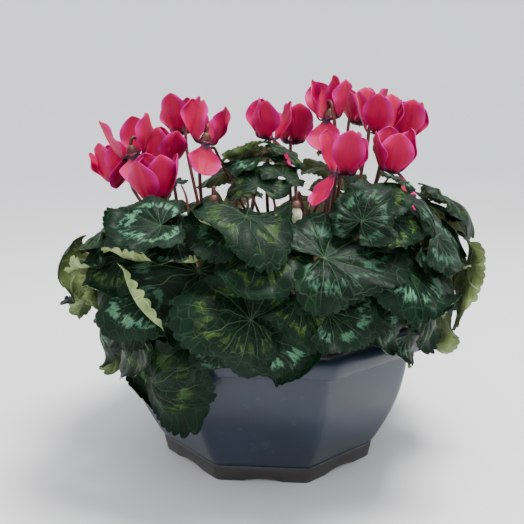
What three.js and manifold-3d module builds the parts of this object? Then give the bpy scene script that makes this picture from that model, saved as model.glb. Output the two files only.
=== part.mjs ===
// Potted cyclamen: an octagonal planter bowl with three plants grown together.
// Millimetres, +Z up. The origin is the centre of the pot's flat underside; the front is -Y.
import * as THREE from "three";
import { mergeVertices } from "three/addons/utils/BufferGeometryUtils.js";
import Module from "manifold-3d";

const wasm = await Module();
wasm.setup();

// ---------------------------------------------------------------- driving dimensions
const POT = {
  rimRadius: 135, // centre to the sharp corner of the octagon, outside the rim
  rimTop: 114,
  footRadius: 90,
  wall: 3.6,
  floor: 4.5,
  cornerCut: 3.85, // how far each corner is cut back along the flats
  archWidth: 30,
  archHeight: 2.2,
  archDepth: 16,
  drainRadius: 4.5,
  drainCircle: 46,
};
// Section of the rim, round from its underside to its inner edge: how far in from the outer
// corner, and how far below the top.
const RIM_SECTION = [
  [14, 6],
  [4, 6],
  [3.4, 14.6],
  [0, 14],
  [0, 8],
  [2.4, 2.2],
  [8, 0],
  [13, 1],
  [15.5, 6],
];
// Height and corner radius of the body's outside, from the foot to the rim.
const BODY = [
  [13.5, 92.5],
  [30, 102],
  [52, 112],
  [74, 117.6],
  [99.4, 120.5],
];
const SOIL = {
  edge: 99,
  crown: 104,
  gap: 0.5,
  shoulder: 3, // depth of the edge's rounding
  lump: 1.6,
  lumpTurns: [0.11, 0.13], // radians a millimetre along X and Y
  lumpShift: [1.3, 0.4],
  rings: [0.98, 0.62, 0.25],
};
const TUBER = { leafRing: 11.5, scapeRing: 5, top: 112, sides: 8, rootDepth: 5 };
// Radius and height up a tuber, a flattened corky disc with a level crown.
const TUBER_PROFILE = [
  [12, 88],
  [21, 95],
  [23, 102],
  [21, 108.5],
  [16.5, TUBER.top],
];
const SEAT_GAP = 0.4; // clearance of a root in its hole
// Dome that the lowest blades lie on, and how far from its centre they hang over the rim.
const CANOPY = { x: 6, z: 104, radius: 150, height: 142, overRim: 163 };
const LEAF = {
  thickness: 0.8,
  clearance: 2.6,
  petiole: 1.35,
  petioleTip: 0.3,
  petioleGap: 1.1,
  petioleRise: 30,
  stub: 2.6,
  stubTop: 4.5,
  teeth: 0.045,
  freeWeight: 0.35,
  mostTilt: 22,
};
// Shape of a blade, as shares of its length: the round body and the drawn-out tip, the notch at
// the stalk, the ring of points inside the margin, and the parts that stay flat or sink.
const BLADE = {
  rimPoints: 13,
  body: 0.64,
  tip: 0.36,
  tipAngle: 40,
  notch: 0.3,
  notchFrom: 128,
  notchTo: 160,
  lastAngle: 158,
  ring: 0.55,
  flat: 0.22,
  rollCurve: 4.2,
  waves: 3.2,
  cup: 0.06,
  sink: 0.3,
};
// Least value and range of what differs from leaf to leaf.
const LEAF_RANGE = {
  breadth: [0.98, 0.16],
  arch: [0.3, 1.1],
  droop: [0.3, 1.0],
  ruffle: [0.08, 0.05],
  phase: [0, 6.28],
};
const LEAF_BANK = 14; // degrees that blades are banked over, half of them to each side
const BACK_LEAF = {
  scatter: 8,
  heading: 110,
  size: [0.9, 0.2],
  lift: [8, 8],
  rolledFrom: 0.72,
  roll: 0.8,
};
const LEAVES_PER_BUNCH = 3.25;
const SCAPE = {
  radius: 1.5,
  clearance: 4.2,
  steep: 3.2,
  rise: 45,
  steps: 4,
  below: [9.6, -9], // end of the rising part, beside and over the mouth
  hook: [
    [9.2, 7],
    [6.8, 13.4],
    [2.4, 14.6],
    [0, 9.5],
  ],
  calyxHeights: [9.8, 7, 3.7],
  calyxRadii: [1.9, 3.4, 4.2],
};
const BUD = {
  top: [5, 20], // end of the rising part, back from and over the tip
  hook: [1, 21],
  neck: 14,
  heights: [16, 11, 5, 0],
  radii: [2, 4.4, 3.4, 0.8],
};
const PETAL = {
  length: 36,
  width: 22,
  thickness: 0.7,
  mouth: 3.6,
  step: 68, // degrees from one petal to the next, so that they stand in two layers
  first: 44,
  fold: 112, // lean at the mouth, where a petal turns back
  foldEnd: 0.24,
  curlFrom: 0.6,
  claw: 0.24,
  widest: 0.58,
  cup: 0.22,
};
const MOUTH_RING = [
  [5, 0.8],
  [5.6, 3.4],
];
const GOLDEN = 0.6180339887;

// Plants: plan position of each tuber.
const PLANTS = {
  left: [-56, 2],
  right: [52, -22],
  back: [8, 56],
};

// Leaves that show at the front, lowest layer first.
// azimuth, elevation and heading in degrees (heading 0 points down, 90 to the right as seen
// from outside), length, lift of the tip, and roll (margin curled up: - left, + right side).
const FRONT_LEAVES = [
  [-126, 3, 2, 50, -5, 0.9],
  [-120, -2, 84, 42, 2, 0],
  [-45, 8, 60, 33, 11, -0.9],
  [-127, 8, -62, 44, 0, 0.5],
  [-101, 8, -40, 28, 7, -0.6],
  [-60, 15, 30, 27, 13, 0.3],
  [-41, 14, 35, 30, 11, 0],
  [-91, 13, 72, 44, 8, 0],
  [-129, 15, -68, 39, 6, -0.8],
  [-133, 20, -74, 50, 10, 0.7],
  [-119, 20, -50, 39, 6, 0],
  [-81, 22, 30, 36, 10, 0],
  [-74, 18, 110, 40, 12, 0.9],
  [-148, 24, -30, 39, 11, 0],
  [-129, 26, -86, 42, 8, 0],
  [-110, 28, -12, 54, 12, 0],
  [-93, 17, -100, 46, 7, -0.5],
  [-46, 25, 70, 42, 8, 0],
  [-51, 27, 58, 51, 12, 0.9],
  [-25, 20, 84, 42, 10, 0],
  [-137, 31, -86, 45, 12, 0.9],
  [-90, 35, -20, 44, 8, 0],
  [-74, 31, 96, 56, 13, 0.4],
  [-41, 32, 92, 45, 11, 0],
  [-139, 39, -92, 34, 12, -0.4],
  [-116, 39, -52, 48, 10, 0.8],
  [-99, 39, -66, 38, 11, 0],
  [-86, 42, 34, 46, 14, 0.6],
  [-131, 44, -110, 39, 11, 0],
  [-54, 38, 100, 39, 11, -0.4],
  [-33, 37, 94, 40, 12, 0],
  [-12, 30, 66, 36, 11, 0],
  [-55, 47, 105, 34, 12, 0],
  [-76, 46, 170, 33, 16, 0],
  [-103, 55, -160, 34, 10, 0],
  [-27, 46, 77, 45, 14, 0],
  [-46, 54, 135, 40, 17, 0],
  [-84, 60, 170, 30, 16, 0],
  [-143, 52, -88, 30, 12, 0],
  [-112, 67, -126, 32, 18, 0],
  [-58, 68, 150, 32, 16, 0],
  [-150, 72, -60, 30, 14, 0],
  [-20, 78, 80, 30, 12, 0],
];
// Rows round the sides and the back: elevation, first azimuth, last azimuth, number of leaves
// and their mean length.
const BACK_ROWS = [
  [5, 4, 194, 7, 54],
  [20, -4, 202, 7, 54],
  [37, 4, 188, 6, 52],
  [53, -4, 184, 4, 44],
  [68, 10, 190, 3, 36],
];

// Blooms: plant, mouth position x, y, z, lean (degrees, towards which azimuth), spin and the
// petals that hang instead of standing (numbered round from the stem).
const BLOOMS = [
  { plant: "left", at: [-102, -36, 240], lean: 10, towards: 200, hang: [1, 3] },
  { plant: "left", at: [-126, 8, 217], lean: 16, towards: 180, hang: [] },
  { plant: "left", at: [-78, 34, 254], lean: 8, towards: 110, hang: [] },
  { plant: "left", at: [-49, -24, 249], lean: 12, towards: -10, hang: [2] },
  { plant: "left", at: [-88, 0, 228], lean: 6, towards: 60, hang: [] },
  { plant: "left", at: [-78, -74, 213], lean: 10, towards: -90, hang: [] },
  { plant: "back", at: [-2, -8, 252], lean: 8, towards: 20, hang: [3] },
  { plant: "back", at: [18, 24, 247], lean: 10, towards: 90, hang: [] },
  { plant: "right", at: [47, -8, 267], lean: 8, towards: 170, hang: [4] },
  { plant: "back", at: [73, 46, 262], lean: 10, towards: 60, hang: [] },
  { plant: "right", at: [85, 0, 256], lean: 4, towards: 20, hang: [] },
  { plant: "right", at: [107, 35, 251], lean: 14, towards: 20, hang: [] },
  { plant: "right", at: [56, -56, 229], lean: 8, towards: 40, hang: [1] },
  { plant: "right", at: [92, -40, 230], lean: 12, towards: -30, hang: [2] },
];
// Unopened buds: plant and the tip's position.
const BUDS = [
  { plant: "right", at: [24, -92, 200] },
  { plant: "left", at: [-36, -66, 200] },
  { plant: "back", at: [-50, 10, 224] },
];

// ---------------------------------------------------------------- materials
const paint = (color, roughness, metalness = 0) =>
  new THREE.MeshStandardMaterial({ color, roughness, metalness });
const MATERIAL = {
  pot: () => paint(0x48535f, 0.35),
  soil: () => paint(0x2a211b, 0.95),
  tuber: () => paint(0x5a4030, 0.85),
  leaf: () => paint(0x2f5a45, 0.5),
  petal: () => paint(0xd81e56, 0.45),
  scape: () => paint(0x5a2026, 0.5),
  bud: () => paint(0xe6dcc0, 0.5),
};

// ---------------------------------------------------------------- small helpers
const rad = THREE.MathUtils.degToRad;
const lerp = THREE.MathUtils.lerp;
const smooth = (x, a, b) => THREE.MathUtils.smoothstep(x, a, b);
const fraction = (x) => x - Math.floor(x);
const vec = (x, y, z) => new THREE.Vector3(x, y, z);
const centre = vec(CANOPY.x, 0, CANOPY.z);

// Unit vector from an azimuth and an elevation in degrees.
const direction = (azimuth, elevation) =>
  vec(
    Math.cos(rad(azimuth)) * Math.cos(rad(elevation)),
    Math.sin(rad(azimuth)) * Math.cos(rad(elevation)),
    Math.sin(rad(elevation)),
  );

// Repeatable spread in 0..1 for item i, one sequence for each channel.
const spread = (i, channel) => fraction((i + 1) * GOLDEN * (1 + 0.37 * channel) + 0.29 * channel);
const within = ([least, range], i, channel) => least + range * spread(i, channel);

// ---------------------------------------------------------------- solids
function geometryOf(points, faces) {
  const g = new THREE.BufferGeometry();
  const values = points.flatMap((p) => [p.x, p.y, p.z]);
  g.setAttribute("position", new THREE.Float32BufferAttribute(values, 3));
  g.setIndex(faces.flat());
  return g;
}

function manifoldOf(geometry) {
  const bare = new THREE.BufferGeometry();
  bare.setAttribute("position", geometry.getAttribute("position"));
  if (geometry.index) bare.setIndex(geometry.index);
  const merged = mergeVertices(bare, 1e-3);
  const triVerts = new Uint32Array(merged.index.array);
  const make = () =>
    new wasm.Manifold(
      new wasm.Mesh({ numProp: 3, vertProperties: merged.attributes.position.array, triVerts }),
    );
  const solid = make();
  if (solid.volume() > 0) return solid;
  for (let i = 0; i < triVerts.length; i += 3) {
    const [b, c] = [triVerts[i + 1], triVerts[i + 2]];
    triVerts[i + 1] = c;
    triVerts[i + 2] = b;
  }
  return make();
}

function geometryFromManifold(solid) {
  const mesh = solid.getMesh();
  const g = new THREE.BufferGeometry();
  const values = Array.from(mesh.vertProperties);
  g.setAttribute("position", new THREE.Float32BufferAttribute(values, mesh.numProp));
  g.setIndex(Array.from(mesh.triVerts));
  return g;
}

const join = (solids) => solids.reduce((a, b) => a.add(b));

// Closed solid through rings of equally many points; each end is closed by a fan.
function loft(rings) {
  const n = rings[0].length;
  const points = rings.flat();
  const faces = [];
  for (let k = 0; k + 1 < rings.length; k++)
    for (let i = 0; i < n; i++) {
      const [a, b] = [k * n + i, k * n + ((i + 1) % n)];
      faces.push([a, b, b + n], [a, b + n, a + n]);
    }
  const last = (rings.length - 1) * n;
  for (let i = 1; i + 1 < n; i++) {
    faces.push([0, i + 1, i]);
    faces.push([last, last + i, last + i + 1]);
  }
  return geometryOf(points, faces);
}

// Round tube through points, with a radius for each, on a frame carried along the path.
function tube(path, radii, sides) {
  const rings = [];
  let side = null;
  path.forEach((p, k) => {
    const ahead = path[Math.min(k + 1, path.length - 1)];
    const behind = path[Math.max(k - 1, 0)];
    const along = ahead.clone().sub(behind).normalize();
    if (!side) side = Math.abs(along.x) < 0.9 ? vec(1, 0, 0) : vec(0, 1, 0);
    side = side.clone().addScaledVector(along, -side.dot(along)).normalize();
    const up = along.clone().cross(side);
    const r = radii[Math.min(k, radii.length - 1)];
    rings.push(
      Array.from({ length: sides }, (_, i) => {
        const a = (2 * Math.PI * i) / sides;
        const out = p.clone().addScaledVector(side, r * Math.cos(a));
        return out.addScaledVector(up, r * Math.sin(a));
      }),
    );
  });
  return loft(rings);
}

// Thin closed blade: the faces over the points, once on each side, and a wall round the edge.
function blade(points, faces, thickness) {
  const normals = points.map(() => vec(0, 0, 0));
  const edges = new Map();
  for (const [a, b, c] of faces) {
    const n = points[b].clone().sub(points[a]).cross(points[c].clone().sub(points[a]));
    for (const i of [a, b, c]) normals[i].add(n);
    for (const [i, j] of [[a, b], [b, c], [c, a]]) {
      if (edges.has(j + "," + i)) edges.delete(j + "," + i);
      else edges.set(i + "," + j, [i, j]);
    }
  }
  normals.forEach((n) => n.normalize());
  const shift = (by) => points.map((p, i) => p.clone().addScaledVector(normals[i], by));
  const count = points.length;
  const all = [...shift(thickness / 2), ...shift(-thickness / 2)];
  const shell = [...faces, ...faces.map(([a, b, c]) => [a + count, c + count, b + count])];
  for (const [i, j] of edges.values()) shell.push([j, i, i + count], [j, i + count, j + count]);
  return geometryOf(all, shell);
}

// ---------------------------------------------------------------- pot and soil
// Octagon with its flats square to X and Y and each corner cut by two points.
function octagon(cornerRadius, z) {
  const ring = [];
  const apothem = cornerRadius * Math.cos(Math.PI / 8);
  const cut = Math.atan((apothem * Math.tan(Math.PI / 8) - POT.cornerCut) / apothem);
  for (let k = 0; k < 8; k++) {
    const face = rad(45 * k);
    const reach = apothem / Math.cos(cut);
    ring.push(vec(reach * Math.cos(face - cut), reach * Math.sin(face - cut), z));
    ring.push(vec(reach * Math.cos(face + cut), reach * Math.sin(face + cut), z));
  }
  return ring;
}

// Radius and height round the rim, up its outside only, and down the inside of the bowl.
const RIM = RIM_SECTION.map(([inside, below]) => [POT.rimRadius - inside, POT.rimTop - below]);
const RIM_OUTSIDE = RIM.slice(2, 8);
const INSIDE = [
  ...[BODY[4], BODY[2], BODY[0]].map(([z, R]) => [R - POT.wall, z]),
  [POT.footRadius - POT.wall, POT.floor],
];

function makePot() {
  const rings = [
    octagon(POT.footRadius, 0),
    ...BODY.map(([z, R]) => octagon(R, z)),
    ...RIM.map(([R, z]) => octagon(R, z)),
    ...INSIDE.map(([R, z]) => octagon(R, z)),
  ];
  let solid = manifoldOf(loft(rings));
  const apothem = POT.footRadius * Math.cos(Math.PI / 8);
  const arch = new THREE.Shape();
  arch.moveTo(-POT.archWidth / 2, -1);
  arch.lineTo(POT.archWidth / 2, -1);
  arch.quadraticCurveTo(0, 2 * POT.archHeight + 1, -POT.archWidth / 2, -1);
  const options = { depth: 2 * POT.archDepth, bevelEnabled: false, curveSegments: 2 };
  const channel = new THREE.ExtrudeGeometry(arch, options).rotateX(Math.PI / 2).rotateZ(Math.PI / 2);
  const hole = new THREE.CylinderGeometry(POT.drainRadius, POT.drainRadius, 4 * POT.floor, 6);
  hole.rotateX(Math.PI / 2);
  for (let k = 0; k < 8; k++) {
    const turn = new THREE.Matrix4().makeRotationZ(rad(45 * k));
    const move = new THREE.Matrix4().makeTranslation(apothem - POT.archDepth, 0, 0);
    solid = solid.subtract(manifoldOf(channel.clone().applyMatrix4(turn.clone().multiply(move))));
    if (k % 2 === 0) {
      const place = new THREE.Matrix4().makeTranslation(POT.drainCircle, 0, 0);
      solid = solid.subtract(manifoldOf(hole.clone().applyMatrix4(turn.clone().multiply(place))));
    }
  }
  return solid;
}

function soilHeight(x, y) {
  const away = Math.hypot(x, y) / POT.rimRadius;
  const mound = lerp(SOIL.crown, SOIL.edge, smooth(away, 0.1, 0.85));
  const [alongX, alongY] = SOIL.lumpTurns;
  const [shiftX, shiftY] = SOIL.lumpShift;
  return mound + SOIL.lump * Math.sin(x * alongX + shiftX) * Math.sin(y * alongY + shiftY);
}

function makeSoil(beds) {
  const inner = INSIDE.map(([R, z]) => [R - SOIL.gap, Math.max(z, POT.floor + SOIL.gap)]);
  const edge = SOIL.edge - SOIL.shoulder;
  const side = [...inner].reverse().filter(([, z]) => z < edge - 1);
  const [[brimR, brimZ], [lowR, lowZ]] = inner;
  const top = lerp(lowR, brimR, (edge - lowZ) / (brimZ - lowZ));
  const rings = side.map(([R, z]) => octagon(R, z));
  rings.push(octagon(top, edge));
  for (const share of SOIL.rings)
    rings.push(octagon(top * share, 0).map((p) => vec(p.x, p.y, soilHeight(p.x, p.y))));
  return beds.reduce((soil, bed) => soil.subtract(bed), manifoldOf(loft(rings)));
}

// ---------------------------------------------------------------- canopy bookkeeping
// A map over the directions seen from the canopy's centre. It keeps how far out the plant
// already reaches, so that each further blade is bent outwards over what lies below it.
class Canopy {
  constructor() {
    this.cell = 1; // degrees
    this.half = 150;
    this.size = 2 * this.half + 1;
    this.reach = new Float32Array(this.size * this.size);
    this.leafy = new Uint8Array(this.size * this.size);
  }
  place(p) {
    const d = p.clone().sub(centre);
    const r = d.length();
    const polar = THREE.MathUtils.radToDeg(Math.acos(d.z / r));
    const flat = Math.hypot(d.x, d.y) || 1e-9;
    const u = (polar * d.x) / flat / this.cell + this.half;
    const v = (polar * d.y) / flat / this.cell + this.half;
    return { u, v, r };
  }
  cells({ u, v }) {
    const corner = Math.floor(v) * this.size + Math.floor(u);
    return [corner, corner + 1, corner + this.size, corner + this.size + 1];
  }
  record(p, grow = 0) {
    const spot = this.place(p);
    const i = Math.round(spot.v) * this.size + Math.round(spot.u);
    this.reach[i] = Math.max(this.reach[i], spot.r + grow);
    this.leafy[i] = 1;
  }
  outermost(p) {
    const spot = this.place(p);
    return { ...spot, reach: Math.max(...this.cells(spot).map((i) => this.reach[i])) };
  }
  open(p, margin) {
    const { u, v } = this.place(p);
    for (let a = -margin; a <= margin; a++)
      for (let b = -margin; b <= margin; b++)
        if (this.leafy[Math.round(v + b) * this.size + Math.round(u + a)]) return false;
    return true;
  }
}

// Records the outside of the pot above the foot, so that hanging blades stay clear of it.
function recordPot(canopy) {
  const profile = [...BODY.map(([z, R]) => [R, z]), ...RIM_OUTSIDE];
  const pitch = 4;
  for (let k = 0; k + 1 < profile.length; k++)
    for (let i = 0; i <= pitch; i++) {
      const [R, z] = [0, 1].map((m) => lerp(profile[k][m], profile[k + 1][m], i / pitch));
      const ring = octagon(R, z);
      ring.forEach((p, m) => {
        const q = ring[(m + 1) % ring.length];
        const count = Math.ceil(p.distanceTo(q) / pitch);
        for (let j = 0; j < count; j++) canopy.record(p.clone().lerp(q, j / count));
      });
    }
}

// Evenly spaced points on a triangle, with their weights.
function samples(a, b, c, pitch) {
  const longest = Math.max(a.distanceTo(b), b.distanceTo(c), c.distanceTo(a));
  const n = Math.max(2, Math.ceil(longest / pitch));
  const out = [];
  for (let i = 0; i <= n; i++)
    for (let j = 0; i + j <= n; j++) {
      const w = [i / n, j / n, (n - i - j) / n];
      const p = a.clone().multiplyScalar(w[0]).addScaledVector(b, w[1]).addScaledVector(c, w[2]);
      out.push({ p, w });
    }
  return out;
}

// Bends a blade outwards, a little in each round, until it clears everything recorded so far.
const DRAPE = { rounds: 25, pitch: 4, mostSlanted: 0.6, close: 0.02, mostPush: 6 };
function drape(points, faces, canopy, clearance) {
  const rays = points.map((p) => p.clone().sub(centre).normalize());
  for (let round = 0; round < DRAPE.rounds; round++) {
    const push = points.map(() => 0);
    let worst = 0;
    for (const face of faces) {
      const [a, b, c] = face.map((i) => points[i]);
      const normal = b.clone().sub(a).cross(c.clone().sub(a)).normalize();
      for (const { p, w } of samples(a, b, c, DRAPE.pitch)) {
        const { reach, r } = canopy.outermost(p);
        if (!reach) continue;
        const facing = Math.abs(normal.dot(p.clone().sub(centre).normalize()));
        const lack = reach + clearance / Math.max(DRAPE.mostSlanted, facing) - r;
        if (lack <= DRAPE.close) continue;
        worst = Math.max(worst, lack);
        const norm = w[0] ** 2 + w[1] ** 2 + w[2] ** 2;
        face.forEach((i, k) => (push[i] = Math.max(push[i], (lack * w[k]) / norm)));
      }
    }
    if (worst === 0) break;
    points.forEach((p, i) => p.addScaledVector(rays[i], Math.min(push[i], DRAPE.mostPush)));
  }
}

// Lays a blade on what is already there: it is shifted and tipped like a stiff sheet until it
// rests on the blades below on average, with its free parts sunk inwards, and is then bent clear.
const SEATING = { rounds: 3, pitch: 6, spare: 1 };
function layBlade(leaf, canopy) {
  let seat = UNSEATED;
  for (let round = 0; round < SEATING.rounds; round++) {
    const back = leafFrame(leaf, seat).invert();
    const sums = new Array(9).fill(0);
    const loads = [0, 0, 0];
    for (const p of bladeSamples(posedBlade(leaf, seat), SEATING.pitch)) {
      const { reach, r } = canopy.outermost(p);
      const local = p.clone().applyMatrix4(back);
      const lies = reach > 0;
      const rest = lies ? reach + LEAF.clearance + SEATING.spare : domeReach(p.clone().sub(centre));
      const want = rest - r;
      const weight = lies ? 1 : LEAF.freeWeight;
      const row = [1, local.x, local.y];
      row.forEach((a, m) => {
        loads[m] += weight * a * want;
        row.forEach((b, n) => (sums[3 * m + n] += weight * a * b));
      });
    }
    const solved = vec(...loads).applyMatrix3(new THREE.Matrix3().set(...sums).invert());
    const tip = (now, slope) => {
      const angle = now + THREE.MathUtils.radToDeg(Math.atan(slope));
      return THREE.MathUtils.clamp(angle, -LEAF.mostTilt, LEAF.mostTilt);
    };
    seat = {
      raise: seat.raise + solved.x,
      pitch: tip(seat.pitch, solved.y),
      bank: tip(seat.bank, solved.z),
    };
  }
  const points = posedBlade(leaf, seat);
  drape(points, PLAN.faces, canopy, LEAF.clearance);
  return points;
}

// ---------------------------------------------------------------- leaves
// Plan of a blade: rays from the petiole to the scalloped margin, with a ring halfway.
const rimAngle = (i) => lerp(-BLADE.lastAngle, BLADE.lastAngle, i / (BLADE.rimPoints - 1));
function outline(degrees) {
  const a = Math.abs(degrees);
  const tip = BLADE.tip * Math.exp(-((a / BLADE.tipAngle) ** 2));
  return (BLADE.body + tip) * (1 - BLADE.notch * smooth(a, BLADE.notchFrom, BLADE.notchTo));
}
function leafPlan() {
  const nodes = [{ angle: 0, out: 0 }];
  for (let i = 0; i < BLADE.rimPoints; i += 2) nodes.push({ angle: rimAngle(i), out: BLADE.ring });
  for (let i = 0; i < BLADE.rimPoints; i++) {
    const tooth = i % 2 === 0 ? LEAF.teeth : -LEAF.teeth;
    nodes.push({ angle: rimAngle(i), out: 1 + tooth });
  }
  const inner = (BLADE.rimPoints + 1) / 2;
  const faces = [];
  for (let k = 0; k + 1 < inner; k++) faces.push([0, 1 + k, 2 + k]);
  for (let k = 0; k + 1 < inner; k++) {
    const near = 1 + k;
    const far = 1 + inner + 2 * k;
    faces.push([near, far, far + 1], [near, far + 1, near + 1], [near + 1, far + 1, far + 2]);
  }
  return { nodes, faces };
}
const PLAN = leafPlan();

// Arc length c along a bend of curvature k: how far along, and how far off the plane.
const bend = (c, k) =>
  Math.abs(k) < 1e-5 ? [c, 0] : [Math.sin(k * c) / k, (1 - Math.cos(k * c)) / k];

// A blade in its own frame: x to the tip, y to the right side, z up from its face.
function bladePoint(leaf, angle, out) {
  const r = out * outline(angle) * leaf.length;
  const x = r * Math.cos(rad(angle));
  const y = r * Math.sin(rad(angle)) * leaf.breadth;
  const rolls = Math.sign(leaf.roll) === Math.sign(y);
  const rolled = rolls ? Math.max(0, Math.abs(y) - BLADE.flat * leaf.length) : 0;
  let [across, up] = bend(y, -leaf.arch / leaf.length);
  if (rolled > 0) {
    const flat = Math.abs(y) - rolled;
    const [along, rise] = bend(rolled, (BLADE.rollCurve * Math.abs(leaf.roll)) / leaf.length);
    const [inner, drop] = bend(flat, -leaf.arch / leaf.length);
    across = Math.sign(y) * (inner + along);
    up = drop + rise;
  }
  const [forward, droop] = bend(x, -leaf.droop / leaf.length);
  const wave = leaf.ruffle * leaf.length * out ** 3 * Math.sin(rad(angle) * BLADE.waves + leaf.phase);
  const cup = BLADE.cup * leaf.length * (1 - out) ** 2;
  return vec(forward, across, up + droop + wave - cup);
}

const DOME = vec(CANOPY.radius, CANOPY.radius, CANOPY.height);
function domeReach(d) {
  const out = d.clone().normalize();
  const hang = 1 - smooth(out.z, 0, 0.2);
  return lerp(1 / out.divide(DOME).length(), CANOPY.overRim, hang);
}

function leafFrame(leaf, seat) {
  const out = direction(leaf.azimuth, leaf.elevation);
  const base = centre.clone().addScaledVector(out, domeReach(out) + seat.raise);
  const normal = out.clone().divide(DOME).divide(DOME).normalize();
  const down = vec(0, 0, -1).addScaledVector(normal, normal.z).normalize();
  const right = normal.clone().cross(down);
  const h = rad(leaf.heading);
  const tip = down.clone().multiplyScalar(Math.cos(h)).addScaledVector(right, Math.sin(h));
  const side = normal.clone().cross(tip);
  const turn = new THREE.Matrix4().makeBasis(tip, side, normal);
  const lift = new THREE.Matrix4().makeRotationY(-rad(leaf.lift + seat.pitch));
  const bank = new THREE.Matrix4().makeRotationX(rad(leaf.bank + seat.bank));
  const depth = BLADE.sink * leaf.length * Math.sin(rad(leaf.lift));
  const frame = new THREE.Matrix4().setPosition(base).multiply(turn);
  frame.multiply(new THREE.Matrix4().makeTranslation(0, 0, -depth));
  return frame.multiply(lift).multiply(bank);
}

function leafList() {
  const list = FRONT_LEAVES.map(([azimuth, elevation, heading, length, lift, roll]) => ({
    azimuth,
    elevation,
    heading,
    length,
    lift,
    roll,
  }));
  for (const [elevation, first, last, count, length] of BACK_ROWS)
    for (let k = 0; k < count; k++) {
      const i = list.length;
      list.push({
        azimuth: lerp(first, last, k / (count - 1)) + BACK_LEAF.scatter * (spread(i, 1) - 0.5),
        elevation: elevation + BACK_LEAF.scatter * (spread(i, 2) - 0.5),
        heading: BACK_LEAF.heading * (spread(i, 3) - 0.5),
        length: length * within(BACK_LEAF.size, i, 4),
        lift: within(BACK_LEAF.lift, i, 5),
        roll: spread(i, 6) > BACK_LEAF.rolledFrom ? BACK_LEAF.roll : 0,
      });
    }
  return list.map((leaf, i) => ({
    ...leaf,
    breadth: within(LEAF_RANGE.breadth, i, 7),
    arch: within(LEAF_RANGE.arch, i, 8),
    droop: within(LEAF_RANGE.droop, i, 9),
    bank: LEAF_BANK * (spread(i, 10) - 0.5),
    ruffle: within(LEAF_RANGE.ruffle, i, 11),
    phase: within(LEAF_RANGE.phase, i, 12),
  }));
}

// Samples of a blade's faces, for tests and for the canopy's record.
const bladeSamples = (points, pitch) =>
  PLAN.faces.flatMap((face) => samples(...face.map((i) => points[i]), pitch).map(({ p }) => p));

const UNSEATED = { raise: 0, pitch: 0, bank: 0 };
function posedBlade(leaf, seat = UNSEATED) {
  const frame = leafFrame(leaf, seat);
  return PLAN.nodes.map(({ angle, out }) => bladePoint(leaf, angle, out).applyMatrix4(frame));
}

const HIGHEST_LEAF = 80; // degrees

// Small changes of a leaf's size, place and turn, the mildest first, tried in that order where
// a flower stalk is in its way.
const NUDGE = {
  sizes: [1, 0.85, 0.72, 0.6, 0.5],
  steps: [0, 4, 8, 12, 16], // degrees over the dome
  turns: [0, -20, 20, -45, 45],
  stepCost: 1.4,
  sizeCost: 30,
  turnCost: 0.12,
  mostTries: 40,
};
const NUDGES = [];
for (const size of NUDGE.sizes)
  for (const step of NUDGE.steps)
    for (const turn of NUDGE.turns)
      for (let k = 0; k < (step ? 8 : 1); k++) {
        const way = k * rad(45);
        const moved = NUDGE.stepCost * step + NUDGE.turnCost * Math.abs(turn);
        const cost = moved + NUDGE.sizeCost * (1 - size);
        NUDGES.push({ size, turn, cost, east: step * Math.cos(way), north: step * Math.sin(way) });
      }
NUDGES.sort((a, b) => a.cost - b.cost);

// How many points of a blade come nearer to a stalk or a bloom than a share of what it keeps.
const CLASH = { pitch: 4, firstShare: 0.9, share: 0.8 };
function clashes(points, obstacles, share) {
  let count = 0;
  for (const p of bladeSamples(points, CLASH.pitch)) {
    const d = p.clone().sub(centre);
    const r = d.length();
    for (const o of obstacles) {
      if (Math.abs(o.r - r) > o.span) continue;
      const dx = (d.x / r - o.d.x) * r;
      const dy = (d.y / r - o.d.y) * r;
      const dz = (d.z / r - o.d.z) * r;
      if (dx * dx + dy * dy + dz * dz < (share * o.keep) ** 2) {
        count++;
        break;
      }
    }
  }
  return count;
}

function nudged(leaf, { size, turn, east, north }) {
  const elevation = Math.min(HIGHEST_LEAF, leaf.elevation + north);
  const azimuth = leaf.azimuth + east / Math.max(0.3, Math.cos(rad(leaf.elevation)));
  return { ...leaf, elevation, azimuth, heading: leaf.heading + turn, length: leaf.length * size };
}

// Lays a leaf at the mildest nudge that keeps its blade clear of stalks and blooms.
function placeLeaf(leaf, obstacles, canopy) {
  let best = null;
  let tries = 0;
  for (const nudge of NUDGES) {
    const moved = nudged(leaf, nudge);
    if (best && clashes(posedBlade(moved), obstacles, CLASH.firstShare) > 0) continue;
    const points = layBlade(moved, canopy);
    const count = clashes(points, obstacles, CLASH.share);
    if (!best || count < best.count) best = { leaf: moved, points, count };
    if (count === 0 || ++tries > NUDGE.mostTries) break;
  }
  return best;
}

// A spot that blades keep clear of: by how much, and over what span in and out.
const STALK_SPOT = { keep: 5, span: 30, steps: 12, beyond: 70 };
const BLOOM_SPOT = { keep: 8, span: 24 };
const obstacle = (p, { keep, span }) => {
  const d = p.clone().sub(centre);
  const r = d.length();
  return { d: d.divideScalar(r), r, keep, span };
};

// ---------------------------------------------------------------- stalk routes
const routes = []; // every stalk laid so far, as { owner, points }

const bezier = (a, b, c, d, steps) => new THREE.CubicBezierCurve3(a, b, c, d).getPoints(steps);

function nearest(points, owner) {
  let least = Infinity;
  for (const other of routes) {
    if (other.owner === owner) continue;
    for (const q of other.points)
      for (const p of points) {
        const d = (p.x - q.x) ** 2 + (p.y - q.y) ** 2 + (p.z - q.z) ** 2;
        if (d < least) least = d;
      }
  }
  return Math.sqrt(least);
}

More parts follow.
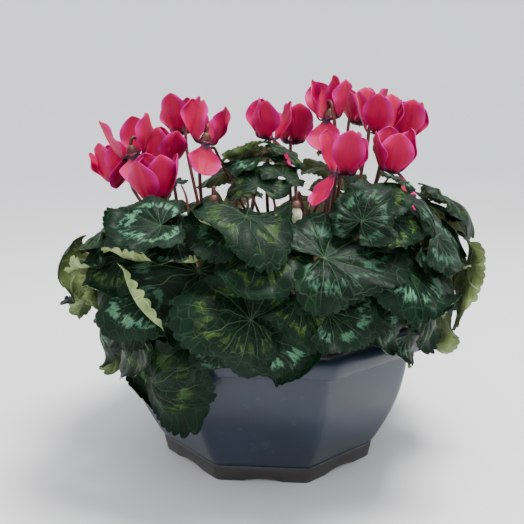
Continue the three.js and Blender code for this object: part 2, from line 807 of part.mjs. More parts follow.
// Lays a stalk from a crown point to its end and bends it sideways until it clears the rest.
// One that ends low is carried over the rim.
const ROUTE = {
  early: [0, 8, -8, 16, -16, 26, -26],
  late: [0, 10, -10, 20, -20],
  high: [0, 10, -8],
  bendCost: 0.004,
  arriving: 0.28,
  pitch: 4,
};
const OVER_RIM = { endsBelow: 128, radius: 90, height: 130 };
function layStalk({ owner, from, out, to, arrive, gap, rise }) {
  const side = vec(to.x - from.x, to.y - from.y, 0).normalize().cross(vec(0, 0, 1));
  let best = null;
  const span = from.distanceTo(to);
  const low = to.z < OVER_RIM.endsBelow;
  for (const early of ROUTE.early)
    for (const late of ROUTE.late)
      for (const high of ROUTE.high) {
        const b = from.clone().addScaledVector(out, rise).addScaledVector(side, early);
        const c = to.clone().addScaledVector(arrive, -ROUTE.arriving * span);
        c.addScaledVector(side, late);
        b.z += high;
        c.z += 0.5 * high;
        if (low && Math.hypot(c.x, c.y) > OVER_RIM.radius) c.z = Math.max(c.z, OVER_RIM.height);
        const points = bezier(from, b, c, to, Math.ceil(span / ROUTE.pitch));
        const clear = Math.min(gap, nearest(points.slice(1), owner));
        const score = clear - ROUTE.bendCost * (Math.abs(early) + Math.abs(late) + Math.abs(high));
        if (!best || score > best.score) best = { points, score, clear, ends: [from, b, c, to] };
        if (clear >= gap) {
          routes.push({ owner, points });
          return best;
        }
      }
  routes.push({ owner, points: best.points });
  return best;
}

// ---------------------------------------------------------------- crowns
const crowns = {};
for (const [name, [x, y]] of Object.entries(PLANTS)) crowns[name] = { x, y, holes: [] };

// Point on a tuber's skin at a distance from its axis, and the way a stalk leaves it.
function crownSeat(plant, azimuth, distance, steep) {
  const { x, y } = crowns[plant];
  const ray = vec(Math.cos(azimuth), Math.sin(azimuth), 0);
  const at = vec(x, y, TUBER.top).addScaledVector(ray, distance);
  return { at, out: ray.setZ(steep).normalize() };
}

// Hole for a root, which runs out through the skin of the crown.
const DRILL_OUT = 14;
function drillCrown(plant, { at, out }, radius, sides) {
  const bottom = at.clone().addScaledVector(out, -TUBER.rootDepth - SEAT_GAP);
  const top = at.clone().addScaledVector(out, DRILL_OUT);
  const width = radius + SEAT_GAP / Math.cos(Math.PI / sides);
  crowns[plant].holes.push(manifoldOf(tube([bottom, top], [width], sides)));
}
const rootOf = ({ at, out }) => at.clone().addScaledVector(out, -TUBER.rootDepth);

// A tuber, or its bed in the soil when grown by a gap.
function tuberBody(name, grow) {
  const { x, y } = crowns[name];
  const ring = ([r, z], k) =>
    Array.from({ length: TUBER.sides }, (_, i) => {
      const a = (2 * Math.PI * i) / TUBER.sides;
      const wide = r + (k === 0 ? 1.4 : 1) * grow;
      return vec(x + wide * Math.cos(a), y + wide * Math.sin(a), z + (k < 2 ? -1.2 : 1) * grow);
    });
  return manifoldOf(loft(TUBER_PROFILE.map(ring)));
}

// ---------------------------------------------------------------- blooms
function bloomFrame(bloom) {
  const [cx, cy] = PLANTS[bloom.plant];
  const at = vec(...bloom.at);
  const up = direction(bloom.towards, 90 - bloom.lean);
  const side = vec(cx - at.x, cy - at.y, 0).normalize();
  side.addScaledVector(up, -side.dot(up)).normalize();
  return { at, up, side, across: up.clone().cross(side) };
}

// Share of the full width at a share of the length: a narrow claw, then a rounded end.
const petalWidth = (s) => {
  const broad = lerp(PETAL.claw, 1, smooth(s, 0.08, 0.55));
  const past = Math.max(0, (s - PETAL.widest) / (1 - PETAL.widest));
  return broad * Math.sqrt(Math.max(0, 1 - past ** 2));
};
// Lean from the bloom's axis at a share of the length.
const petalLean = (petal, s) => {
  const folded = lerp(rad(PETAL.fold), petal.lean, smooth(s, 0, PETAL.foldEnd));
  return folded + petal.curl * smooth(s, PETAL.curlFrom, 1);
};
// Sum of a share of one vector and a share of another.
const mix = (a, x, b, y) => a.clone().multiplyScalar(x).addScaledVector(b, y);

// Points of one petal: a claw, two stations of left, middle and right, and a tip.
const PETAL_STATIONS = [0, 0.2, 0.64, 1];
const PETAL_STEP = 0.02;
function petalPoints(frame, petal) {
  const ray = mix(frame.side, Math.cos(petal.turn), frame.across, Math.sin(petal.turn));
  const around = frame.up.clone().cross(ray);
  const points = [];
  let r = PETAL.mouth;
  let h = 2;
  let s = 0;
  for (const station of PETAL_STATIONS) {
    for (; s < station - 1e-9; s += PETAL_STEP) {
      const theta = petalLean(petal, s + PETAL_STEP / 2);
      r += PETAL_STEP * petal.length * Math.sin(theta);
      h += PETAL_STEP * petal.length * Math.cos(theta);
    }
    const theta = petalLean(petal, station);
    const middle = frame.at.clone().addScaledVector(ray, r).addScaledVector(frame.up, h);
    const outward = mix(ray, Math.cos(theta), frame.up, -Math.sin(theta));
    const twist = petal.twist * smooth(station, 0.1, 0.9);
    const wide = mix(around, Math.cos(twist), outward, Math.sin(twist));
    const face = mix(outward, Math.cos(twist), around, -Math.sin(twist));
    const half = (petal.width / 2) * petalWidth(station);
    if (station === 0 || station === 1) {
      points.push(middle);
      continue;
    }
    for (const x of [-1, 0, 1]) {
      const edge = middle.clone().addScaledVector(wide, x * half);
      points.push(edge.addScaledVector(face, PETAL.cup * half * (1 - x * x)));
    }
  }
  return points;
}

const PETAL_FACES = [];
for (const x of [1, 2]) {
  PETAL_FACES.push([0, x + 1, x], [x, x + 1, x + 4], [x, x + 4, x + 3], [x + 3, x + 4, 7]);
}

function petalsOf(index) {
  return Array.from({ length: 5 }, (_, k) => {
    const i = 5 * index + k;
    const hangs = BLOOMS[index].hang.includes(k);
    return {
      turn: rad(PETAL.first + PETAL.step * k),
      length: PETAL.length * (0.93 + 0.14 * spread(i, 1)) * (hangs ? 0.85 : 1),
      width: PETAL.width * (0.92 + 0.18 * spread(i, 2)),
      lean: rad(hangs ? 128 + 26 * spread(i, 3) : (k % 2 === 0 ? 13 : -4) + 6 * spread(i, 3)),
      twist: rad(6 + 9 * spread(i, 4)),
      curl: rad(-14 + 30 * spread(i, 5)),
    };
  });
}

function makeBloom(index) {
  const frame = bloomFrame(BLOOMS[index]);
  const disc = (radius, height) =>
    Array.from({ length: 5 }, (_, i) => {
      const a = (2 * Math.PI * (i + 0.5)) / 5;
      return frame.at
        .clone()
        .addScaledVector(frame.side, radius * Math.cos(a))
        .addScaledVector(frame.across, radius * Math.sin(a))
        .addScaledVector(frame.up, height);
    });
  const parts = [manifoldOf(loft(MOUTH_RING.map(([radius, height]) => disc(radius, height))))];
  for (const petal of petalsOf(index))
    parts.push(manifoldOf(blade(petalPoints(frame, petal), PETAL_FACES, PETAL.thickness)));
  return join(parts);
}

// Spaces the flower stalks of each plant evenly round its crown, in the order they lean.
function seatStalks(flowers) {
  const seated = flowers.map((flower) => ({ ...flower }));
  for (const [plant, [x, y]] of Object.entries(PLANTS)) {
    const own = seated.filter((flower) => flower.plant === plant);
    for (const flower of own) flower.azimuth = Math.atan2(flower.at[1] - y, flower.at[0] - x);
    own.sort((a, b) => a.azimuth - b.azimuth);
    const step = (2 * Math.PI) / own.length;
    const offset = own.reduce((sum, f, k) => sum + f.azimuth - step * k, 0) / own.length;
    own.forEach((flower, k) => (flower.seatAngle = offset + step * k));
  }
  return seated;
}

// A flower stalk: up from the crown, past the mouth, over in a hook and down to the calyx.
function layScape(owner, bloom) {
  const frame = bloomFrame(bloom);
  const [cx, cy] = PLANTS[bloom.plant];
  const seat = crownSeat(bloom.plant, bloom.seatAngle, TUBER.scapeRing, SCAPE.steep);
  drillCrown(bloom.plant, seat, SCAPE.radius, 3);
  const beside = (away, height) =>
    frame.at.clone().addScaledVector(frame.side, away).addScaledVector(frame.up, height);
  const below = beside(...SCAPE.below);
  const outwards = vec(below.x - cx, below.y - cy, 0).normalize();
  const arrive = frame.up.clone().addScaledVector(outwards, 0.25).normalize();
  const laid = layStalk({
    owner,
    from: seat.at,
    out: seat.out,
    to: below,
    arrive,
    gap: SCAPE.clearance,
    rise: SCAPE.rise,
  });
  const hook = SCAPE.hook.map(([away, height]) => beside(away, height));
  return { path: [rootOf(seat), ...bezier(...laid.ends, SCAPE.steps), ...hook], beside };
}

function makeScape(scape) {
  const stalk = tube(scape.path, [SCAPE.radius], 3);
  const calyx = tube(SCAPE.calyxHeights.map((height) => scape.beside(0, height)), SCAPE.calyxRadii, 4);
  return join([manifoldOf(stalk), manifoldOf(calyx)]);
}

function layBud(owner, bud) {
  const [cx, cy] = PLANTS[bud.plant];
  const tip = vec(...bud.at);
  const away = vec(tip.x - cx, tip.y - cy, 0).normalize();
  const seat = crownSeat(bud.plant, bud.seatAngle, TUBER.scapeRing, SCAPE.steep);
  drillCrown(bud.plant, seat, SCAPE.radius, 3);
  const over = ([back, height]) => tip.clone().addScaledVector(away, -back).add(vec(0, 0, height));
  const laid = layStalk({
    owner,
    from: seat.at,
    out: seat.out,
    to: over(BUD.top),
    arrive: away.clone().multiplyScalar(0.5).add(vec(0, 0, 1)).normalize(),
    gap: SCAPE.clearance,
    rise: SCAPE.rise,
  });
  return {
    path: [rootOf(seat), ...bezier(...laid.ends, SCAPE.steps), over(BUD.hook), over([0, BUD.neck])],
    body: BUD.heights.map((height) => over([0, height])),
  };
}

const makeBud = (bud) =>
  join([manifoldOf(tube(bud.path, [SCAPE.radius], 3)), manifoldOf(tube(bud.body, BUD.radii, 6))]);

// ---------------------------------------------------------------- leaf bunches
function groupLeaves(leaves) {
  const bunches = [];
  for (const [plant, [x, y]] of Object.entries(PLANTS)) {
    const own = leaves
      .filter((leaf) => leaf.plant === plant)
      .map((leaf) => ({ leaf, azimuth: Math.atan2(leaf.foot.y - y, leaf.foot.x - x) }))
      .sort((a, b) => a.azimuth - b.azimuth);
    const count = Math.round(own.length / LEAVES_PER_BUNCH);
    for (let k = 0; k < count; k++) {
      const cut = (n) => Math.round((own.length * n) / count);
      const members = own.slice(cut(k), cut(k + 1));
      const middle = members.reduce((sum, m) => sum + m.azimuth, 0) / members.length;
      bunches.push({ plant, middle, order: k, leaves: members.map((m) => m.leaf) });
    }
    const mine = bunches.filter((bunch) => bunch.plant === plant);
    const step = (2 * Math.PI) / count;
    const offset = mine.reduce((sum, b) => sum + b.middle - step * b.order, 0) / count;
    for (const b of mine) {
      b.name = plant + b.order;
      b.seat = crownSeat(plant, offset + step * b.order, TUBER.leafRing, 1.5);
      drillCrown(plant, b.seat, LEAF.stub, 4);
    }
  }
  return bunches;
}

function closestPlant(p) {
  return Object.keys(PLANTS).reduce((a, b) => {
    const away = (name) => Math.hypot(p.x - PLANTS[name][0], p.y - PLANTS[name][1]);
    return away(b) < away(a) ? b : a;
  });
}

// Where the stalk meets its blade: at the notch, or at the nearest spot that nothing covers.
function joint(points, canopy) {
  const middle = (face) => face.reduce((sum, i) => sum.add(points[i]), vec(0, 0, 0)).divideScalar(3);
  const spots = PLAN.faces.map(middle);
  spots.sort((a, b) => a.distanceTo(points[0]) - b.distanceTo(points[0]));
  return spots.find((p) => canopy.open(p, 2)) || spots.find((p) => canopy.open(p, 1)) || spots[0];
}

// A bunch: the stub in the crown, with the stalk and the blade of each of its leaves.
function makeBunch(bunch) {
  const { at, out } = bunch.seat;
  const stub = [rootOf(bunch.seat), at.clone().addScaledVector(out, LEAF.stubTop)];
  const parts = [manifoldOf(tube(stub, [LEAF.stub], 4))];
  const radii = [LEAF.petiole, LEAF.petiole, LEAF.petiole, LEAF.petioleTip];
  for (const leaf of bunch.leaves) {
    parts.push(manifoldOf(tube(bezier(...leaf.stalk.ends, radii.length - 1), radii, 3)));
    parts.push(manifoldOf(blade(leaf.points, PLAN.faces, LEAF.thickness)));
  }
  return { plant: bunch.plant, solid: join(parts) };
}

// Neighbouring bunches of one plant whose stalks and blades cross are fused into one.
function fuseCrossing(bunches) {
  const whole = [];
  for (let bunch of bunches) {
    for (let i = 0; i < whole.length; i++) {
      const other = whole[i];
      const crosses = other.plant === bunch.plant && other.solid.intersect(bunch.solid).volume() > 0;
      if (!crosses) continue;
      bunch = { plant: bunch.plant, solid: other.solid.add(bunch.solid) };
      whole.splice(i, 1);
      i = -1;
    }
    whole.push(bunch);
  }
  const counts = {};
  return whole.map(({ plant, solid }) => {
    counts[plant] = (counts[plant] || 0) + 1;
    return { solid, name: "leaves_" + plant + "_" + String(counts[plant]).padStart(2, "0") };
  });
}

// ---------------------------------------------------------------- assembly
const group = new THREE.Group();
function addNode(name, solid, material) {
  const mesh = new THREE.Mesh(geometryFromManifold(solid), material);
  mesh.name = name;
  group.add(mesh);
}
const numbered = (stem, i) => stem + "_" + String(i + 1).padStart(2, "0");

const pot = makePot();
addNode("pot", pot, MATERIAL.pot());

const obstacles = [];
const stalked = seatStalks([...BLOOMS, ...BUDS]);
const scapes = BLOOMS.map((_, i) => layScape(numbered("scape", i), stalked[i]));
const buds = BUDS.map((_, i) => layBud(numbered("bud", i), stalked[BLOOMS.length + i]));
BLOOMS.forEach((_, i) => addNode(numbered("bloom", i), makeBloom(i), MATERIAL.petal()));
scapes.forEach((scape, i) => addNode(numbered("scape", i), makeScape(scape), MATERIAL.scape()));
buds.forEach((bud, i) => addNode(numbered("bud", i), makeBud(bud), MATERIAL.bud()));
for (const { path } of [...scapes, ...buds])
  for (let k = 1; k < path.length; k++)
    for (let i = 0; i < STALK_SPOT.steps; i++) {
      const p = path[k - 1].clone().lerp(path[k], i / STALK_SPOT.steps);
      if (p.distanceTo(centre) > STALK_SPOT.beyond) obstacles.push(obstacle(p, STALK_SPOT));
    }
for (const { body } of buds) for (const p of body) obstacles.push(obstacle(p, BLOOM_SPOT));
BLOOMS.forEach((bloom, i) => {
  for (const petal of petalsOf(i))
    for (const p of petalPoints(bloomFrame(bloom), petal)) obstacles.push(obstacle(p, BLOOM_SPOT));
});

const RECORD = { pitch: 2, stalksBeyond: 80 };
const canopy = new Canopy();
recordPot(canopy);
canopy.leafy.fill(0);

const leaves = leafList().map((form) => {
  const foot = posedBlade(form)[0];
  return { form, foot, plant: closestPlant(foot) };
});
const bunches = groupLeaves(leaves);
for (const leaf of leaves) {
  const bunch = bunches.find((b) => b.leaves.includes(leaf));
  leaf.points = placeLeaf(leaf.form, obstacles, canopy).points;
  leaf.end = joint(leaf.points, canopy);
  const from = bunch.seat.at.clone().addScaledVector(bunch.seat.out, LEAF.stubTop - 1);
  leaf.stalk = layStalk({
    owner: bunch.name,
    from,
    out: bunch.seat.out,
    to: leaf.end,
    arrive: leaf.end.clone().sub(centre).normalize(),
    gap: 2 * LEAF.petiole + LEAF.petioleGap,
    rise: LEAF.petioleRise,
  });
  for (const p of bladeSamples(leaf.points, RECORD.pitch)) canopy.record(p);
  for (const p of leaf.stalk.points)
    if (p.distanceTo(centre) > RECORD.stalksBeyond) canopy.record(p, LEAF.petiole);
}
for (const { solid, name } of fuseCrossing(bunches.map(makeBunch)))
  addNode(name, solid, MATERIAL.leaf());

for (const name of Object.keys(PLANTS)) {
  const drilled = crowns[name].holes.reduce((solid, hole) => solid.subtract(hole), tuberBody(name, 0));
  addNode("tuber_" + name, drilled, MATERIAL.tuber());
}
const beds = Object.keys(PLANTS).map((name) => tuberBody(name, SOIL.gap));
addNode("soil", makeSoil(beds), MATERIAL.soil());

export default group;
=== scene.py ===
"""Looks of a potted cyclamen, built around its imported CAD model.

The leaves, petals, stalks, pot and soil are made again at full detail by the rules that placed the
CAD solids, so each piece keeps its solid's form. Growth is worked out in millimetres, and every
mesh is turned to metres when it becomes an object. +Z is up and the front faces -Y.
"""

import itertools
import logging
import math
from collections.abc import Callable, Iterable, Sequence
from dataclasses import dataclass, field, replace
from enum import Enum

import bmesh
import bpy
import numpy as np
from mathutils import Matrix, Vector, noise
from mathutils.bvhtree import BVHTree


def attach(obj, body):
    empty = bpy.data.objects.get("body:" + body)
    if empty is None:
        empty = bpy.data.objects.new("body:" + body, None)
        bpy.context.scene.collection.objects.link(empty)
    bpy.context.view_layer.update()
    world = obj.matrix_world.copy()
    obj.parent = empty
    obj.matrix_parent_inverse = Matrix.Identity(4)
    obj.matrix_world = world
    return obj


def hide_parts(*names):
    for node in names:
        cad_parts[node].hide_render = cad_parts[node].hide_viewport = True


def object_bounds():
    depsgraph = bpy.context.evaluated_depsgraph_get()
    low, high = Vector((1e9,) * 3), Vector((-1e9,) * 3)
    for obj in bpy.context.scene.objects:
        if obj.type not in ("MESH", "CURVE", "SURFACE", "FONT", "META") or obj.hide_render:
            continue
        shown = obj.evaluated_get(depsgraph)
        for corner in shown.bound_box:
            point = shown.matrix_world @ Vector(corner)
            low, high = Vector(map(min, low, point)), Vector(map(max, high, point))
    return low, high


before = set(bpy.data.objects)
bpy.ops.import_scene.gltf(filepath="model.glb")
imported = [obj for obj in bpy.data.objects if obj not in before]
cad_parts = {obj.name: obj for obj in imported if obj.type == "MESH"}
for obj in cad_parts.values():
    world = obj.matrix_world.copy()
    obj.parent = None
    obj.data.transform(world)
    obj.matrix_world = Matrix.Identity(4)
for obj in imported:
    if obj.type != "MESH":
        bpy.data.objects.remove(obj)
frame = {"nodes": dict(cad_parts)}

LOG = logging.getLogger("cyclamen")
CAD_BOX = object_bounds()
MM = 0.001
GOLDEN = 0.6180339887
Array = np.ndarray


# ------------------------------------------------------------------ sizes, in millimetres
@dataclass(frozen=True)
class PotSizes:
    """Sizes of the octagonal bowl; a radius is to the sharp corner of the octagon."""

    rim_radius: float = 135.0
    rim_bottom: float = 99.4
    rim_top: float = 114.0
    rim_roll: float = 8.0
    foot_radius: float = 90.0
    wall: float = 3.2
    floor: float = 4.5
    corner_radius: float = 11.0
    cut_share: float = 0.35
    arch_width: float = 30.0
    arch_height: float = 2.2
    arch_depth: float = 16.0
    drain_radius: float = 4.5
    drain_circle: float = 46.0
    body: tuple[tuple[float, float], ...] = (
        (13.5, 92.5),
        (30.0, 102.0),
        (52.0, 112.0),
        (74.0, 117.6),
        (99.4, 120.5),
    )


@dataclass(frozen=True)
class SoilSizes:
    """Heights of the soil at its edge and crown, of its lumps, and its loose crumbs."""

    edge: float = 99.0
    crown: float = 104.0
    lump: float = 1.6
    below_edge: float = 3.0
    rings: int = 56
    crumbs: int = 520
    gap: float = 1.0


@dataclass(frozen=True)
class CanopySizes:
    """The dome that the lowest blades lie on."""

    x: float = 6.0
    z: float = 104.0
    radius: float = 150.0
    height: float = 142.0
    over_rim: float = 163.0


@dataclass(frozen=True)
class LeafSizes:
    """Sizes shared by all leaves, with the limits of how a blade is laid."""

    clearance: float = 2.6
    petiole: float = 1.35
    stalk_gap: float = 1.1
    rise: float = 30.0
    beyond: float = 80.0
    cover: float = 2.5
    stub_top: float = 4.5
    teeth: float = 0.045
    span: float = 158.0
    roll_line: float = 0.22
    roll_bend: float = 4.2
    waves: float = 3.2
    dish: float = 0.06
    hinge: float = 0.3
    free_weight: float = 0.35
    most_tilt: float = 22.0
    ring: float = 11.5
    test_pitch: float = 4.0
    most_tries: int = 40


@dataclass(frozen=True)
class StalkSizes:
    """Where the flower stalks stand and how they run."""

    clearance: float = 4.2
    ring: float = 5.0
    steps: int = 12
    steep: float = 3.2
    rise: float = 45.0
    sunk: float = 5.0


@dataclass(frozen=True)
class PetalSizes:
    """Sizes of a petal."""

    length: float = 36.0
    width: float = 22.0
    mouth: float = 3.6
    mouth_lean: float = math.radians(112)
    hollow: float = 0.22


@dataclass(frozen=True)
class RouteSizes:
    """How a stalk may swerve, and how it passes over the rim."""

    early: tuple[int, ...] = (0, 8, -8, 16, -16, 26, -26)
    late: tuple[int, ...] = (0, 10, -10, 20, -20)
    high: tuple[int, ...] = (0, 10, -8)
    swerve_cost: float = 0.004
    arrival: float = 0.28
    low_end: float = 128.0
    over_rim_from: float = 90.0
    over_rim: float = 130.0


POT = PotSizes()
SOIL = SoilSizes()
CANOPY = CanopySizes()
LEAF = LeafSizes()
SCAPE = StalkSizes()
PETAL = PetalSizes()
ROUTE = RouteSizes()
TUBER_PROFILE = ((12.0, 88.0), (21.0, 95.0), (23.0, 102.0), (21.0, 108.5), (16.5, 112.0))
TUBER_TOP = TUBER_PROFILE[-1][1]


class Plant(Enum):
    """The plants in the bowl, each with the plan position of its tuber."""

    LEFT = (-56.0, 2.0)
    RIGHT = (52.0, -22.0)
    BACK = (8.0, 56.0)


# Leaves that show at the front, lowest layer first: azimuth, elevation and heading in degrees
# (heading 0 points down, 90 to the right as seen from outside), length, lift of the tip, and
# roll (margin curled up: - left, + right side).
FRONT_LEAVES = (
    (-126, 3, 2, 50, -5, 0.9),
    (-120, -2, 84, 42, 2, 0),
    (-45, 8, 60, 33, 11, -0.9),
    (-127, 8, -62, 44, 0, 0.5),
    (-101, 8, -40, 28, 7, -0.6),
    (-60, 15, 30, 27, 13, 0.3),
    (-41, 14, 35, 30, 11, 0),
    (-91, 13, 72, 44, 8, 0),
    (-129, 15, -68, 39, 6, -0.8),
    (-133, 20, -74, 50, 10, 0.7),
    (-119, 20, -50, 39, 6, 0),
    (-81, 22, 30, 36, 10, 0),
    (-74, 18, 110, 40, 12, 0.9),
    (-148, 24, -30, 39, 11, 0),
    (-129, 26, -86, 42, 8, 0),
    (-110, 28, -12, 54, 12, 0),
    (-93, 17, -100, 46, 7, -0.5),
    (-46, 25, 70, 42, 8, 0),
    (-51, 27, 58, 51, 12, 0.9),
    (-25, 20, 84, 42, 10, 0),
    (-137, 31, -86, 45, 12, 0.9),
    (-90, 35, -20, 44, 8, 0),
    (-74, 31, 96, 56, 13, 0.4),
    (-41, 32, 92, 45, 11, 0),
    (-139, 39, -92, 34, 12, -0.4),
    (-116, 39, -52, 48, 10, 0.8),
    (-99, 39, -66, 38, 11, 0),
    (-86, 42, 34, 46, 14, 0.6),
    (-131, 44, -110, 39, 11, 0),
    (-54, 38, 100, 39, 11, -0.4),
    (-33, 37, 94, 40, 12, 0),
    (-12, 30, 66, 36, 11, 0),
    (-55, 47, 105, 34, 12, 0),
    (-76, 46, 170, 33, 16, 0),
    (-103, 55, -160, 34, 10, 0),
    (-27, 46, 77, 45, 14, 0),
    (-46, 54, 135, 40, 17, 0),
    (-84, 60, 170, 30, 16, 0),
    (-143, 52, -88, 30, 12, 0),
    (-112, 67, -126, 32, 18, 0),
    (-58, 68, 150, 32, 16, 0),
    (-150, 72, -60, 30, 14, 0),
    (-20, 78, 80, 30, 12, 0),
)
# Rows round the sides and the back: elevation, first azimuth, last azimuth, number of leaves
# and their mean length.
BACK_ROWS = (
    (5, 4, 194, 7, 54),
    (20, -4, 202, 7, 54),
    (37, 4, 188, 6, 52),
    (53, -4, 184, 4, 44),
    (68, 10, 190, 3, 36),
)
LEAVES_PER_BUNCH = 3.25


@dataclass(frozen=True)
class Flower:
    """Where a bloom or a bud stands: its plant and mouth, how it leans, its hanging petals."""

    plant: Plant
    at: tuple[float, float, float]
    lean: float = 0.0
    towards: float = 0.0
    hang: tuple[int, ...] = ()
    seat_angle: float = 0.0


BLOOMS = (
    Flower(Plant.LEFT, (-102, -36, 240), 10, 200, (1, 3)),
    Flower(Plant.LEFT, (-126, 8, 217), 16, 180),
    Flower(Plant.LEFT, (-78, 34, 254), 8, 110),
    Flower(Plant.LEFT, (-49, -24, 249), 12, -10, (2,)),
    Flower(Plant.LEFT, (-88, 0, 228), 6, 60),
    Flower(Plant.LEFT, (-78, -74, 213), 10, -90),
    Flower(Plant.BACK, (-2, -8, 252), 8, 20, (3,)),
    Flower(Plant.BACK, (18, 24, 247), 10, 90),
    Flower(Plant.RIGHT, (47, -8, 267), 8, 170, (4,)),
    Flower(Plant.BACK, (73, 46, 262), 10, 60),
    Flower(Plant.RIGHT, (85, 0, 256), 4, 20),
    Flower(Plant.RIGHT, (107, 35, 251), 14, 20),
    Flower(Plant.RIGHT, (56, -56, 229), 8, 40, (1,)),
    Flower(Plant.RIGHT, (92, -40, 230), 12, -30, (2,)),
)
BUDS = (
    Flower(Plant.RIGHT, (24, -92, 200)),
    Flower(Plant.LEFT, (-36, -66, 200)),
    Flower(Plant.BACK, (-50, 10, 224)),
)


# ------------------------------------------------------------------ small maths
def spread(index: int, channel: int) -> float:
    """Repeatable spread in 0..1 for an item, one sequence for each channel."""
    x = (index + 1) * GOLDEN * (1 + 0.37 * channel) + 0.29 * channel
    return x - math.floor(x)


def lerp(a: float, b: float, t: float) -> float:
    """Value between a and b."""
    return a + (b - a) * t


def smooth(x: Array | float, a: float, b: float) -> Array:
    """Smooth step of x from a to b."""
    t = np.clip((np.asarray(x, float) - a) / (b - a), 0.0, 1.0)
    return t * t * (3 - 2 * t)


def unit(v: Array) -> Array:
    """Vectors scaled to length 1."""
    v = np.asarray(v, float)
    return v / np.maximum(np.linalg.norm(v, axis=-1, keepdims=True), 1e-12)


def direction(azimuth: float, elevation: float) -> Array:
    """Unit vector from an azimuth and an elevation in degrees."""
    a, e = math.radians(azimuth), math.radians(elevation)
    return np.array([math.cos(a) * math.cos(e), math.sin(a) * math.cos(e), math.sin(e)])


def bezier(ends: Sequence[Array], steps: int) -> Array:
    """Points of a cubic curve, evenly spaced in its parameter.

    Args:
        ends: Its four control points.
        steps: Number of points.

    Returns:
        The points, one to a row.
    """
    a, b, c, d = (np.asarray(p, float) for p in ends)
    t = (np.arange(steps + 1) / steps)[:, None]
    return a * (1 - t) ** 3 + 3 * b * t * (1 - t) ** 2 + 3 * c * t**2 * (1 - t) + d * t**3


CENTRE = np.array([CANOPY.x, 0.0, CANOPY.z])
DOME = np.array([CANOPY.radius, CANOPY.radius, CANOPY.height])


# ------------------------------------------------------------------ canopy bookkeeping
class Canopy:
    """Map over the directions seen from the canopy's centre of how far out the plant reaches."""

    HALF = 150
    SIZE = 2 * HALF + 1

    def __init__(self) -> None:
        """Starts an empty map."""
        self.reach = np.zeros(self.SIZE * self.SIZE, np.float32)
        self.leafy = np.zeros(self.SIZE * self.SIZE, bool)

    def place(self, points: Array) -> tuple[Array, Array, Array]:
        """Finds points on the map.

        Args:
            points: Positions in millimetres, one to a row.

        Returns:
            Their two map coordinates and their distances from the centre.
        """
        d = points - CENTRE
        r = np.linalg.norm(d, axis=1)
        polar = np.degrees(np.arccos(d[:, 2] / r))
        flat = np.maximum(np.hypot(d[:, 0], d[:, 1]), 1e-9)
        return polar * d[:, 0] / flat + self.HALF, polar * d[:, 1] / flat + self.HALF, r

    def record(self, points: Array, grow: float = 0.0) -> None:
        """Marks the cells that the points fall in as reached.

        Args:
            points: Where something lies.
            grow: How far it reaches beyond them.
        """
        u, v, r = self.place(points)
        cells = (np.floor(v + 0.5) * self.SIZE + np.floor(u + 0.5)).astype(int)
        np.maximum.at(self.reach, cells, (r + grow).astype(np.float32))
        self.leafy[cells] = True

    def outermost(self, points: Array) -> tuple[Array, Array]:
        """How far out the map reaches at each point, and the point's own distance.

        Args:
            points: Places to ask about.

        Returns:
            Both distances, one for each point.
        """
        u, v, r = self.place(points)
        cell = (np.floor(v) * self.SIZE + np.floor(u)).astype(int)
        around = np.stack([cell, cell + 1, cell + self.SIZE, cell + self.SIZE + 1])
        return self.reach[around].max(axis=0).astype(float), r

    def open(self, point: Array, margin: int) -> bool:
        """Whether no leaf is recorded within a margin, in degrees, of a point.

        Args:
            point: The place asked about.
            margin: Degrees round it.

        Returns:
            True where it is open.
        """
        u, v, _ = self.place(point[None])
        around = np.arange(-margin, margin + 1)
        columns, rows = (np.floor(at + around + 0.5).astype(int) for at in (u, v))
        return not self.leafy[rows[:, None] * self.SIZE + columns].any()


def octagon(corner_radius: float, z: float) -> Array:
    """Octagon with its flats square to X and Y and each corner cut by two points.

    Args:
        corner_radius: From the axis to a corner.
        z: Its height.

    Returns:
        Its points in order.
    """
    apothem = corner_radius * math.cos(math.pi / 8)
    cut = math.atan((apothem * math.tan(math.pi / 8) - POT.corner_radius * POT.cut_share) / apothem)
    reach = apothem / math.cos(cut)
    turns = [math.radians(45 * k) + side * cut for k in range(8) for side in (-1, 1)]
    return np.array([[reach * math.cos(a), reach * math.sin(a), z] for a in turns])


def rim_profile() -> list[tuple[float, float]]:
    """Corner radius and height round the rim's section, from under its lip to the inner wall."""
    radius, top, low = POT.rim_radius, POT.rim_top, POT.rim_bottom
    return [
        (radius - 14, top - 6),
        (radius - 4, top - 6),
        (radius - 3.4, low),
        (radius, low + 0.6),
        (radius, top - POT.rim_roll),
        (radius - 2.4, top - 2.2),
        (radius - 8, top),
        (radius - 13, top - 1),
        (radius - 15.5, top - 6),
    ]


def record_pot(canopy: Canopy) -> None:
    """Records the outside of the pot above the foot, so that hanging blades stay clear of it.

    Args:
        canopy: The map that takes the points.
    """
    profile = [(radius, z) for z, radius in POT.body] + rim_profile()[2:8]
    pitch = 4
    for low, high in zip(profile, profile[1:]):
        for i in range(pitch + 1):
            ring = octagon(lerp(low[0], high[0], i / pitch), lerp(low[1], high[1], i / pitch))
            for p, q in zip(ring, np.roll(ring, -1, axis=0)):
                count = math.ceil(np.linalg.norm(q - p) / pitch)
                canopy.record(p + (q - p) * (np.arange(count) / count)[:, None])


# ------------------------------------------------------------------ leaf forms
RIM_POINTS = 13
RIM_ANGLES = np.array([lerp(-LEAF.span, LEAF.span, i / (RIM_POINTS - 1))
                       for i in range(RIM_POINTS)])
RING = 0.55  # where the plan's inner ring lies, from the petiole to the margin


def outline(degrees: Array) -> Array:
    """Distance from petiole to margin at an angle, for a blade of length 1."""
    a = np.abs(degrees)
    return (0.64 + 0.36 * np.exp(-((a / 40) ** 2))) * (1 - 0.3 * smooth(a, 128, 160))


def bend(c: Array, k: float) -> tuple[Array, Array]:
    """Arc length c along a bend of curvature k: how far along, and how far off the plane."""
    if abs(k) < 1e-5:
        return c, np.zeros_like(c)
    return np.sin(k * c) / k, (1 - np.cos(k * c)) / k


